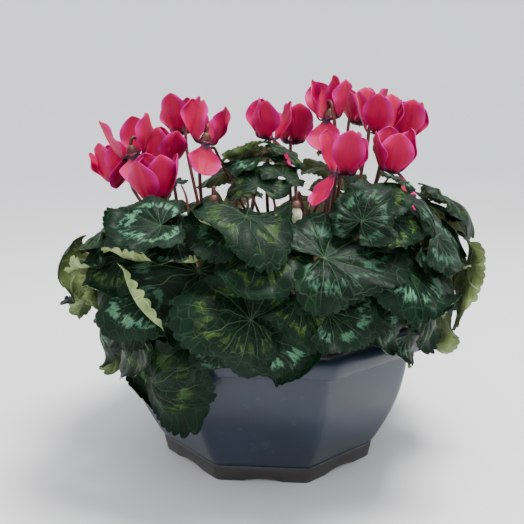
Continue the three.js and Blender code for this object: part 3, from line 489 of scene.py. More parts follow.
class Plan:
    """Control points and faces of a blade, alike for every leaf."""

    def __init__(self) -> None:
        """Lays the points out from the petiole to the margin."""
        inner = RIM_ANGLES[::2]
        teeth = np.where(np.arange(RIM_POINTS) % 2 == 0, LEAF.teeth, -LEAF.teeth)
        self.angle = np.concatenate([[0.0], inner, RIM_ANGLES])
        self.out = np.concatenate([[0.0], np.full(len(inner), RING), 1 + teeth])
        self.inner = len(inner)
        faces = [(0, 1 + k, 2 + k) for k in range(self.inner - 1)]
        for k in range(self.inner - 1):
            near, far = 1 + k, 1 + self.inner + 2 * k
            faces += [(near, far, far + 1), (near, far + 1, near + 1), (near + 1, far + 1, far + 2)]
        self.faces = np.array(faces)
        self.weights: dict[int, Array] = {}

    def share(self, n: int) -> Array:
        """Weights of evenly spaced points on a triangle split n times along each side."""
        if n not in self.weights:
            rows = [(i / n, j / n, (n - i - j) / n) for i in range(n + 1) for j in range(n + 1 - i)]
            self.weights[n] = np.array(rows)
        return self.weights[n]

    def samples(self, points: Array, pitch: float) -> tuple[Array, Array, Array]:
        """Spreads test points over the faces.

        Args:
            points: The plan's control points as placed.
            pitch: Largest distance between neighbouring test points.

        Returns:
            The test points, the face that each lies on and its weights in that face.
        """
        a, b, c = (points[self.faces[:, k]] for k in range(3))
        longest = np.max([np.linalg.norm(side, axis=1) for side in (a - b, b - c, c - a)], axis=0)
        counts = np.maximum(2, np.ceil(longest / pitch)).astype(int)
        spots, owners, weights = [], [], []
        for n in np.unique(counts):
            which = np.nonzero(counts == n)[0]
            w = self.share(int(n))
            corners = points[self.faces[which]]
            spots.append(np.einsum("sk,fkx->fsx", w, corners).reshape(-1, 3))
            owners.append(np.repeat(which, len(w)))
            weights.append(np.tile(w, (len(which), 1)))
        return np.concatenate(spots), np.concatenate(owners), np.concatenate(weights)


PLAN = Plan()


@dataclass(frozen=True)
class LeafForm:
    """One leaf: where it lies on the dome, how it points, and how its blade is bent."""

    azimuth: float
    elevation: float
    heading: float
    length: float
    lift: float
    roll: float
    breadth: float = 1.0
    arch: float = 0.5
    droop: float = 0.5
    bank: float = 0.0
    ruffle: float = 0.04
    phase: float = 0.0

    def point(self, angle: Array, out: Array) -> Array:
        """Blade points in the leaf's own frame: x to the tip, y to the right, z from its face.

        Args:
            angle: Angles from the tip in degrees.
            out: Distances from the petiole, 1 at the margin.

        Returns:
            Positions, one to a row.
        """
        a = np.radians(angle)
        r = out * outline(angle) * self.length
        x, y = r * np.cos(a), r * np.sin(a) * self.breadth
        rolled = np.maximum(0, np.abs(y) - LEAF.roll_line * self.length)
        rolled = np.where(np.sign(y) == np.sign(self.roll), rolled, 0)
        across, up = bend(y, -self.arch / self.length)
        inner, drop = bend(np.abs(y) - rolled, -self.arch / self.length)
        along, rise = bend(rolled, LEAF.roll_bend * abs(self.roll) / self.length)
        across = np.where(rolled > 0, np.sign(y) * (inner + along), across)
        up = np.where(rolled > 0, drop + rise, up)
        forward, sag = bend(x, -self.droop / self.length)
        wave = self.ruffle * self.length * out**3 * np.sin(a * LEAF.waves + self.phase)
        dish = LEAF.dish * self.length * (1 - out) ** 2
        return np.stack([forward, across, up + sag + wave - dish], axis=-1)

    def nudged(self, nudge: "Nudge") -> "LeafForm":
        """The same leaf after a small change of its size, place and turn."""
        return replace(
            self,
            elevation=min(80, self.elevation + nudge.north),
            azimuth=self.azimuth + nudge.east / max(0.3, math.cos(math.radians(self.elevation))),
            heading=self.heading + nudge.turn,
            length=self.length * nudge.size,
        )


@dataclass(frozen=True)
class Seat:
    """How a stiff blade is raised and tipped to rest on those below."""

    lift: float = 0.0
    pitch: float = 0.0
    bank: float = 0.0


@dataclass(frozen=True)
class Nudge:
    """A small change of a leaf, with its cost."""

    size: float
    turn: float
    cost: float
    east: float
    north: float


def make_nudges() -> list[Nudge]:
    """Small changes of a leaf's size, place and turn, the mildest first.

    Returns:
        The changes in the order they are tried.
    """
    nudges = []
    for size in (1, 0.85, 0.72, 0.6, 0.5):
        for step in (0, 4, 8, 12, 16):
            for turn in (0, -20, 20, -45, 45):
                cost = 1.4 * step + 30 * (1 - size) + 0.12 * abs(turn)
                for k in range(8 if step else 1):
                    way = k * math.radians(45)
                    east, north = step * math.cos(way), step * math.sin(way)
                    nudges.append(Nudge(size, turn, cost, east, north))
    return sorted(nudges, key=lambda n: n.cost)


NUDGES = make_nudges()


def dome_reach(d: Array) -> Array:
    """Distance from the centre to the dome along directions.

    Args:
        d: Unit directions.

    Returns:
        One distance for each.
    """
    out = unit(d)
    hang = 1 - smooth(out[..., 2], 0, 0.2)
    dome = 1 / np.linalg.norm(out / DOME, axis=-1)
    return dome + (CANOPY.over_rim - dome) * hang


def axes_at(x: Array, y: Array, z: Array, at: Array) -> Array:
    """4 by 4 matrix with the given axes and place.

    Args:
        x: First axis.
        y: Second axis.
        z: Third axis.
        at: The place.

    Returns:
        The matrix.
    """
    matrix = np.identity(4)
    matrix[:3] = np.stack([x, y, z, at], axis=1)
    return matrix


def leaf_frame(leaf: LeafForm, seat: Seat) -> Array:
    """Matrix that takes a blade from its own frame to its place on the dome.

    Args:
        leaf: The leaf.
        seat: Where it sits on the dome.

    Returns:
        The matrix.
    """
    out = direction(leaf.azimuth, leaf.elevation)
    normal = unit(out / DOME / DOME)
    down = unit(np.array([0, 0, -1.0]) + normal * normal[2])
    right = np.cross(normal, down)
    h = math.radians(leaf.heading)
    tip = down * math.cos(h) + right * math.sin(h)
    turn = axes_at(tip, np.cross(normal, tip), normal, CENTRE + out * (dome_reach(out) + seat.lift))
    inward = np.identity(4)
    inward[2, 3] = -LEAF.hinge * leaf.length * math.sin(math.radians(leaf.lift))
    lift = np.array(Matrix.Rotation(-math.radians(leaf.lift + seat.pitch), 4, "Y"))
    bank = np.array(Matrix.Rotation(math.radians(leaf.bank + seat.bank), 4, "X"))
    return turn @ inward @ lift @ bank


def move(points: Array, matrix: Array) -> Array:
    """Points taken through a 4 by 4 matrix."""
    return points @ matrix[:3, :3].T + matrix[:3, 3]


def posed_blade(leaf: LeafForm, seat: Seat = Seat()) -> Array:
    """The plan's control points on a seated leaf, before it is bent clear."""
    return move(leaf.point(PLAN.angle, PLAN.out), leaf_frame(leaf, seat))


def drape(points: Array, canopy: Canopy) -> Array:
    """Bends a blade outwards until it clears everything recorded so far.

    Args:
        points: The blade's points.
        canopy: What is there already.

    Returns:
        The bent points.
    """
    points = points.copy()
    rays = unit(points - CENTRE)
    for _ in range(25):
        spots, owner, w = PLAN.samples(points, LEAF.test_pitch)
        a, b, c = (points[PLAN.faces[:, k]] for k in range(3))
        normals = unit(np.cross(b - a, c - a))[owner]
        reach, r = canopy.outermost(spots)
        slant = np.maximum(0.6, np.abs(np.sum(normals * unit(spots - CENTRE), axis=1)))
        lack = reach + LEAF.clearance / slant - r
        bad = (reach > 0) & (lack > 0.02)
        if not bad.any():
            break
        push = np.zeros(len(points))
        share = lack[bad, None] * w[bad] / np.sum(w[bad] ** 2, axis=1)[:, None]
        np.maximum.at(push, PLAN.faces[owner[bad]], share)
        points += rays * np.minimum(push, 6)[:, None]
    return points


def lay_blade(leaf: LeafForm, canopy: Canopy) -> tuple[Seat, Array]:
    """Lays a blade on what is there already, like a stiff sheet, and then bends it clear.

    Args:
        leaf: The leaf.
        canopy: What has been laid so far.

    Returns:
        Its seat, and its control points once it is bent clear.
    """
    seat = Seat()
    for _ in range(3):
        matrix = leaf_frame(leaf, seat)
        spots, _, _ = PLAN.samples(posed_blade(leaf, seat), 6)
        reach, r = canopy.outermost(spots)
        local = move(spots, np.linalg.inv(matrix))
        want = np.where(reach > 0, reach + LEAF.clearance + 1 - r, dome_reach(spots - CENTRE) - r)
        weight = np.where(reach > 0, 1.0, LEAF.free_weight)
        rows = np.stack([np.ones(len(spots)), local[:, 0], local[:, 1]], axis=1)
        solved = np.linalg.solve((rows * weight[:, None]).T @ rows, rows.T @ (weight * want))
        tips = np.array([seat.pitch, seat.bank]) + [math.degrees(math.atan(s)) for s in solved[1:]]
        pitch, bank = np.clip(tips, -LEAF.most_tilt, LEAF.most_tilt)
        seat = Seat(seat.lift + solved[0], pitch, bank)
    return seat, drape(posed_blade(leaf, seat), canopy)


@dataclass(frozen=True)
class Spot:
    """How clear a blade keeps of a point, over what depth, and how far out that starts."""

    keep: float
    span: float
    beyond: float = 0.0


STALK_SPOT = Spot(5, 30, 70)
BLOOM_SPOT = Spot(8, 24)


class Obstacles:
    """Points of flower stalks, buds and petals that no blade may touch."""

    def __init__(self) -> None:
        """Starts with none."""
        self.rows: list[tuple[Array, float, float]] = []
        self.table: tuple[Array, ...] = ()

    def add(self, point: Array, keep: float, span: float) -> None:
        """Adds a point with its clearance and how deep along the ray it counts."""
        self.rows.append((np.asarray(point, float) - CENTRE, keep, span))

    def close(self) -> None:
        """Gathers the points into arrays."""
        d, keep, span = (np.array(column) for column in zip(*self.rows))
        r = np.linalg.norm(d, axis=1)
        self.table = (d / r[:, None], r, keep, span)

    def clashes(self, points: Array, share: float) -> int:
        """How many test points of a blade come too near.

        Args:
            points: The blade's control points.
            share: Part of the clearance that is asked for.

        Returns:
            The number of test points in the way.
        """
        spots, _, _ = PLAN.samples(points, LEAF.test_pitch)
        d = spots - CENTRE
        r = np.linalg.norm(d, axis=1)
        d /= r[:, None]
        ways, radii, keeps, spans = self.table
        middle = unit(d.mean(axis=0))
        near = ways @ middle > (d @ middle).min() - 0.12
        gap = np.sqrt(np.maximum(0, 2 - 2 * d @ ways[near].T)) * r[:, None]
        hit = (gap < share * keeps[near]) & (np.abs(radii[near] - r[:, None]) <= spans[near])
        return int(hit.any(axis=1).sum())


def place_leaf(leaf: LeafForm, obstacles: Obstacles,
               canopy: Canopy) -> tuple[LeafForm, Seat, Array]:
    """Lays a leaf at the mildest nudge that keeps its blade clear of stalks and blooms.

    Args:
        leaf: The leaf as listed.
        obstacles: What it has to keep clear of.
        canopy: What has been laid so far.

    Returns:
        The nudged leaf, its seat and its control points.
    """
    best, least, tries = None, 0, 0
    for nudge in NUDGES:
        moved = leaf.nudged(nudge)
        if best is not None and obstacles.clashes(posed_blade(moved), 0.9) > 0:
            continue
        seat, points = lay_blade(moved, canopy)
        count = obstacles.clashes(points, 0.8)
        if best is None or count < least:
            best, least = (moved, seat, points), count
        tries += 1
        if count == 0 or tries > LEAF.most_tries:
            break
    return best


def leaf_list() -> list[LeafForm]:
    """Every leaf, lowest layer first at the front and then row by row round the back.

    Returns:
        The leaves in the order they are laid.
    """
    rows = [tuple(row) for row in FRONT_LEAVES]
    for elevation, first, last, count, length in BACK_ROWS:
        for k in range(count):
            i = len(rows)
            rows.append((
                lerp(first, last, k / (count - 1)) + 8 * (spread(i, 1) - 0.5),
                elevation + 8 * (spread(i, 2) - 0.5),
                110 * (spread(i, 3) - 0.5),
                length * (0.9 + 0.2 * spread(i, 4)),
                8 + 8 * spread(i, 5),
                0.8 if spread(i, 6) > 0.72 else 0,
            ))
    return [
        LeafForm(
            *row,
            breadth=0.98 + 0.16 * spread(i, 7),
            arch=0.3 + 1.1 * spread(i, 8),
            droop=0.3 + 1.0 * spread(i, 9),
            bank=14 * (spread(i, 10) - 0.5),
            ruffle=0.08 + 0.05 * spread(i, 11),
            phase=6.28 * spread(i, 12),
        )
        for i, row in enumerate(rows)
    ]


# ------------------------------------------------------------------ stalks and crowns
class Routes:
    """Every stalk laid so far, so that the next one keeps clear of them."""

    def __init__(self) -> None:
        """Starts with none."""
        self.laid: list[tuple[str, Array]] = []

    def nearest(self, points: Array, owner: str) -> float:
        """Least distance from the points to the stalks of other owners.

        Args:
            points: Points to measure from.
            owner: Whose own stalks don't count.

        Returns:
            The distance.
        """
        others = [laid for name, laid in self.laid if name != owner]
        if not others:
            return math.inf
        q = np.concatenate(others)
        squares = (points**2).sum(1)[:, None] + (q**2).sum(1)[None] - 2 * points @ q.T
        return math.sqrt(max(0.0, squares.min()))

    def lay(self, owner: str, start: Array, out: Array, end: Array, arrive: Array, gap: float,
            rise: float) -> tuple[list[Array], Array]:
        """Lays a stalk and bends it sideways until it clears the rest.

        Args:
            owner: Name of the flower or bunch that the stalk belongs to.
            start: Where it leaves the crown.
            out: Its direction there.
            end: Where it ends.
            arrive: Its direction there.
            gap: Clearance that it should keep.
            rise: How far it follows its first direction.

        Returns:
            The four control points of its curve, and points along it.
        """
        side = np.cross(level(start, end), [0, 0, 1.0])
        length = float(np.linalg.norm(end - start))
        steps = math.ceil(length / 4)
        best, score = None, -math.inf
        for early, late, high in itertools.product(ROUTE.early, ROUTE.late, ROUTE.high):
            b = start + out * rise + side * early
            c = end - ROUTE.arrival * length * arrive + side * late
            b[2] += high
            c[2] += 0.5 * high
            if end[2] < ROUTE.low_end and math.hypot(c[0], c[1]) > ROUTE.over_rim_from:
                c[2] = max(c[2], ROUTE.over_rim)
            points = bezier((start, b, c, end), steps)
            clear = min(gap, self.nearest(points[1:], owner))
            worth = clear - ROUTE.swerve_cost * (abs(early) + abs(late) + abs(high))
            if best is None or worth > score:
                best, score = ([start, b, c, end], points), worth
            if clear >= gap:
                self.laid.append((owner, points))
                return best
        self.laid.append((owner, best[1]))
        return best


def level(start: Sequence[float], end: Sequence[float]) -> Array:
    """Level unit vector from one place towards another."""
    return unit(np.array([end[0] - start[0], end[1] - start[1], 0]))


def crown_seat(plant: Plant, azimuth: float, distance: float, steep: float) -> tuple[Array, Array]:
    """Point on a tuber's crown at a distance from its axis, and the way a stalk leaves it.

    Args:
        plant: Whose tuber it is.
        azimuth: Degrees round its axis.
        distance: From its axis.
        steep: How much the way rises.

    Returns:
        The point and the unit way.
    """
    x, y = plant.value
    away = np.array([math.cos(azimuth), math.sin(azimuth), steep])
    return np.array([x + distance * away[0], y + distance * away[1], TUBER_TOP]), unit(away)


def seat_stalks(flowers: Sequence[Flower]) -> list[Flower]:
    """Spaces the flower stalks of each plant evenly round its crown, in the order they lean.

    Args:
        flowers: The listed flowers.

    Returns:
        The same flowers, with their places on the crown.
    """
    seated = list(flowers)
    for plant in Plant:
        x, y = plant.value
        own = sorted((math.atan2(f.at[1] - y, f.at[0] - x), i)
                     for i, f in enumerate(flowers) if f.plant is plant)
        offset = sum(a - 2 * math.pi * k / len(own) for k, (a, _) in enumerate(own)) / len(own)
        for k, (_, i) in enumerate(own):
            seated[i] = replace(flowers[i], seat_angle=offset + 2 * math.pi * k / len(own))
    return seated


@dataclass
class BloomFrame:
    """Axes of a bloom: its mouth, the way its petals stand, and towards and across the stalk."""

    at: Array
    up: Array
    side: Array
    across: Array

    @classmethod
    def of(cls, flower: Flower) -> "BloomFrame":
        """Axes worked out from where the flower stands and leans.

        Args:
            flower: The listed flower.

        Returns:
            The axes and the place.
        """
        at = np.array(flower.at, float)
        up = direction(flower.towards, 90 - flower.lean)
        side = level(at, flower.plant.value)
        side = unit(side - up * side.dot(up))
        return cls(at, up, side, np.cross(up, side))

    def beside(self, away: float, height: float) -> Array:
        """Point at a distance towards the stalk and a height over the mouth."""
        return self.at + self.side * away + self.up * height

    def ray(self, petal: "PetalForm") -> Array:
        """The way in which a petal stands off the mouth."""
        return self.side * math.cos(petal.turn) + self.across * math.sin(petal.turn)

    def outward(self, petal: "PetalForm", theta: Array) -> Array:
        """The way that a petal's back faces where it leans by theta."""
        return np.cos(theta)[:, None] * self.ray(petal) - np.sin(theta)[:, None] * self.up

    def matrix(self) -> Matrix:
        """Takes the bloom's own coordinates to its place."""
        return Matrix(axes_at(self.side, self.across, self.up, self.at).tolist())


@dataclass(frozen=True)
class PetalForm:
    """One petal: its place round the mouth, its size and how it stands."""

    turn: float
    length: float
    width: float
    lean: float
    twist: float
    curl: float

    def angle(self, s: Array) -> Array:
        """Lean away from the bloom's axis at a share of the petal's length."""
        lean = PETAL.mouth_lean + (self.lean - PETAL.mouth_lean) * smooth(s, 0, 0.24)
        return lean + self.curl * smooth(s, 0.6, 1)


def petals_of(index: int) -> list[PetalForm]:
    """The five petals of a bloom, in two layers.

    Args:
        index: The bloom's number.

    Returns:
        The petals, lower layer first.
    """
    petals = []
    for k in range(5):
        i = 5 * index + k
        hangs = k in BLOOMS[index].hang
        standing = (13 if k % 2 == 0 else -4) + 6 * spread(i, 3)
        petals.append(PetalForm(
            turn=math.radians(44 + 68 * k),
            length=PETAL.length * (0.93 + 0.14 * spread(i, 1)) * (0.85 if hangs else 1),
            width=PETAL.width * (0.92 + 0.18 * spread(i, 2)),
            lean=math.radians(128 + 26 * spread(i, 3) if hangs else standing),
            twist=math.radians(6 + 9 * spread(i, 4)),
            curl=math.radians(-14 + 30 * spread(i, 5)),
        ))
    return petals


def petal_width(s: Array) -> Array:
    """Half width of a petal at a share of its length, 1 at its widest."""
    taper = np.sqrt(np.maximum(0, 1 - np.maximum(0, (s - 0.58) / 0.42) ** 2))
    return (0.24 + 0.76 * smooth(s, 0.08, 0.55)) * taper


def petal_surface(bloom: BloomFrame, petal: PetalForm, s: Array, x: Array) -> Array:
    """Points of a petal.

    Args:
        bloom: The bloom's axes.
        petal: The petal.
        s: Shares of the petal's length, 0 at its base.
        x: Places across it, -1 to 1.

    Returns:
        Positions, one to a row.
    """
    ray = bloom.ray(petal)
    around = np.cross(bloom.up, ray)
    grid = np.linspace(0, 1, 201)
    lean = petal.angle((grid[1:] + grid[:-1]) / 2)
    r = PETAL.mouth + np.concatenate([[0], np.cumsum(np.sin(lean))]) * petal.length / 200
    h = 2 + np.concatenate([[0], np.cumsum(np.cos(lean))]) * petal.length / 200
    radius, height = np.interp(s, grid, r), np.interp(s, grid, h)
    middle = bloom.at + radius[:, None] * ray + height[:, None] * bloom.up
    outward = bloom.outward(petal, petal.angle(s))
    twist = (petal.twist * smooth(s, 0.1, 0.9))[:, None]
    wide = np.cos(twist) * around + np.sin(twist) * outward
    face = np.cos(twist) * outward - np.sin(twist) * around
    half = petal.width / 2 * petal_width(s)
    return middle + (x * half)[:, None] * wide + (PETAL.hollow * half * (1 - x * x))[:, None] * face


@dataclass
class Scape:
    """A flower stalk: the curve it rises on, its hook and the bloom's axes."""

    rise: list[Array]
    hook: list[Array]
    root: Array
    frame: BloomFrame | None = None

    def coarse(self) -> Array:
        """The straight stretches of the CAD stalk."""
        return np.array([self.root, *bezier(self.rise, 4), *self.hook])


def lay_scape(owner: str, flower: Flower, routes: Routes) -> Scape:
    """Lays a bloom's stalk: up from the crown, past the mouth, and over in a hook.

    Args:
        owner: The node it belongs to.
        flower: The flower it carries.
        routes: The stalks laid so far.

    Returns:
        The laid stalk.
    """
    bloom = BloomFrame.of(flower)
    seat, out = crown_seat(flower.plant, flower.seat_angle, SCAPE.ring, SCAPE.steep)
    below = bloom.beside(9.6, -9)
    arrive = unit(bloom.up + 0.25 * level(flower.plant.value, below))
    ends, _ = routes.lay(owner, seat, out, below, arrive, SCAPE.clearance, SCAPE.rise)
    hook = [bloom.beside(*spot) for spot in ((9.2, 7), (6.8, 13.4), (2.4, 14.6), (0, 9.5))]
    return Scape(ends, hook, seat - SCAPE.sunk * out, bloom)


def lay_bud(owner: str, flower: Flower, routes: Routes) -> Scape:
    """Lays a bud's stalk, which bends over just under the bud.

    Args:
        owner: The node it belongs to.
        flower: The bud it carries.
        routes: The stalks laid so far.

    Returns:
        The laid stalk.
    """
    tip, up = np.array(flower.at, float), np.array([0, 0, 1.0])
    away = level(flower.plant.value, tip)
    seat, out = crown_seat(flower.plant, flower.seat_angle, SCAPE.ring, SCAPE.steep)
    top = tip - 5 * away + 20 * up
    ends, _ = routes.lay(owner, seat, out, top, unit(0.5 * away + up), SCAPE.clearance, SCAPE.rise)
    return Scape(ends, [tip - away + 21 * up, tip + 14 * up], seat - SCAPE.sunk * out)


# ------------------------------------------------------------------ growing the plants
@dataclass
class GrownLeaf:
    """A leaf in its place: form, seat, bent control points and the curve of its stalk."""

    index: int
    form: LeafForm
    plant: Plant
    seat: Seat = Seat()
    points: Array | None = None
    stalk: list[Array] = field(default_factory=list)
    bare: Array | None = None


class Planting:
    """Grows the three plants by the rules that placed the CAD solids."""

    def __init__(self) -> None:
        """Lays flower stalks first, then the leaves around them."""
        routes = Routes()
        flowers = seat_stalks([*BLOOMS, *BUDS])
        count = len(BLOOMS)
        self.scapes = [lay_scape(f"scape_{i}", f, routes) for i, f in enumerate(flowers[:count])]
        self.buds = [lay_bud(f"bud_{i}", f, routes) for i, f in enumerate(flowers[count:])]
        obstacles = self.obstacles()
        canopy = Canopy()
        record_pot(canopy)
        canopy.leafy[:] = False
        self.leaves = self.forms()
        seats = self.bunch_seats()
        for leaf in self.leaves:
            name, seat, out = seats[leaf.index]
            leaf.form, leaf.seat, leaf.points = place_leaf(leaf.form, obstacles, canopy)
            end = self.joint(leaf.points, canopy)
            start = seat + out * (LEAF.stub_top - 1)
            arrive = unit(end - CENTRE)
            gap = 2 * LEAF.petiole + LEAF.stalk_gap
            leaf.stalk, along = routes.lay(name, start, out, end, arrive, gap, LEAF.rise)
            canopy.record(PLAN.samples(leaf.points, 2)[0])
            far = along[np.linalg.norm(along - CENTRE, axis=1) > LEAF.beyond]
            if len(far):
                canopy.record(far, LEAF.petiole)
        for leaf in self.leaves:
            reach, r = canopy.outermost(leaf.points[1 + PLAN.inner:])
            leaf.bare = (reach - r < LEAF.cover).astype(float)

    def obstacles(self) -> Obstacles:
        """Everything of the flowers that a blade keeps clear of.

        Returns:
            Their points and sizes.
        """
        found = Obstacles()
        for scape in [*self.scapes, *self.buds]:
            path = scape.coarse()
            for a, b in zip(path, path[1:]):
                for i in range(SCAPE.steps):
                    p = a + (b - a) * i / SCAPE.steps
                    if np.linalg.norm(p - CENTRE) > STALK_SPOT.beyond:
                        found.add(p, STALK_SPOT.keep, STALK_SPOT.span)
        for flower in BUDS:
            for height in (16.0, 11.0, 5.0, 0.0):
                spot = np.array(flower.at, float) + np.array([0, 0, height])
                found.add(spot, BLOOM_SPOT.keep, BLOOM_SPOT.span)
        stations = np.array([0, 0.2, 0.2, 0.2, 0.64, 0.64, 0.64, 1.0])
        across = np.array([0, -1, 0, 1, -1, 0, 1, 0.0])
        for i, flower in enumerate(BLOOMS):
            for petal in petals_of(i):
                for p in petal_surface(BloomFrame.of(flower), petal, stations, across):
                    found.add(p, BLOOM_SPOT.keep, BLOOM_SPOT.span)
        found.close()
        return found

    @staticmethod
    def forms() -> list[GrownLeaf]:
        """The listed leaves, each with the plant that it is closest to.

        Returns:
            The leaves, not laid yet.
        """
        grown = []
        for i, form in enumerate(leaf_list()):
            foot = posed_blade(form)[0]
            plant = min(Plant, key=lambda p: math.hypot(foot[0] - p.value[0], foot[1] - p.value[1]))
            grown.append(GrownLeaf(i, form, plant))
        return grown

    def bunch_seats(self) -> dict[int, tuple[str, Array, Array]]:
        """Shares the leaves of each plant among bunches, evenly spaced round its crown.

        Returns:
            For each leaf's index, its bunch's name, seat and direction.
        """
        seats = {}
        for plant in Plant:
            x, y = plant.value
            feet = [(posed_blade(leaf.form)[0], leaf.index)
                    for leaf in self.leaves if leaf.plant is plant]
            own = sorted((math.atan2(foot[1] - y, foot[0] - x), index) for foot, index in feet)
            count = math.floor(len(own) / LEAVES_PER_BUNCH + 0.5)
            cuts = [math.floor(len(own) * k / count + 0.5) for k in range(count + 1)]
            middles = [sum(a for a, _ in own[p:q]) / (q - p) for p, q in zip(cuts, cuts[1:])]
            offset = sum(m - 2 * math.pi * k / count for k, m in enumerate(middles)) / count
            for k, (p, q) in enumerate(zip(cuts, cuts[1:])):
                seat, out = crown_seat(plant, offset + 2 * math.pi * k / count, LEAF.ring, 1.5)
                for _, index in own[p:q]:
                    seats[index] = (f"{plant.name}{k}", seat, out)
        return seats

    @staticmethod
    def joint(points: Array, canopy: Canopy) -> Array:
        """Where the stalk meets its blade: the spot nearest the notch that nothing covers.

        Args:
            points: The blade's points.
            canopy: What covers it.

        Returns:
            The spot.
        """
        spots = points[PLAN.faces].mean(axis=1)
        spots = spots[np.argsort(np.linalg.norm(spots - points[0], axis=1), kind="stable")]
        for margin in (2, 1):
            for spot in spots:
                if canopy.open(spot, margin):
                    return spot
        return spots[0]


# ------------------------------------------------------------------ shader nodes
@dataclass(frozen=True)
class Wire:
    """A node's output that can be used in Python expressions; each operator adds a Math node."""

    shader: "Shader"
    socket: bpy.types.NodeSocket

    def math(self, operation: str, *others: "Value") -> "Wire":
        """Result of a Math node fed with this value and then the others."""
        return self.shader.math("ShaderNodeMath", operation, self, *others)

    def __add__(self, other: "Value") -> "Wire":
        """Sum with a value."""
        return self.math("ADD", other)

    def __sub__(self, other: "Value") -> "Wire":
        """Difference from a value."""
        return self.math("SUBTRACT", other)

    def __rsub__(self, other: "Value") -> "Wire":
        """A value less this one."""
        return self.shader.math("ShaderNodeMath", "SUBTRACT", other, self)

    def __mul__(self, other: "Value") -> "Wire":
        """Product with a value."""
        return self.math("MULTIPLY", other)

    __radd__ = __add__
    __rmul__ = __mul__

    def __pow__(self, other: "Value") -> "Wire":
        """Power of this value."""
        return self.math("POWER", other)

    def distance(self, other: "Value") -> "Wire":
        """Absolute difference from a value."""
        return (self - other).math("ABSOLUTE")

    def step(self, low: float, high: float) -> "Wire":
        """Smooth step from 0 at low to 1 at high, which may be the smaller of the two."""
        settings = {"interpolation_type": "SMOOTHSTEP"}
        return self.shader.wire("ShaderNodeMapRange", settings, {0: self, 1: low, 2: high})


Value = Wire | float | str | Sequence[float]


def tint(code: str) -> tuple[float, float, float, float]:
    """Linear colour from a screen colour written as six hexadecimal digits.

    Args:
        code: The six digits.

    Returns:
        Red, green, blue and full opacity.
    """
    parts = [int(code[i:i + 2], 16) / 255 for i in (0, 2, 4)]
    linear = [c / 12.92 if c <= 0.04045 else ((c + 0.055) / 1.055) ** 2.4 for c in parts]
    return (*linear, 1.0)


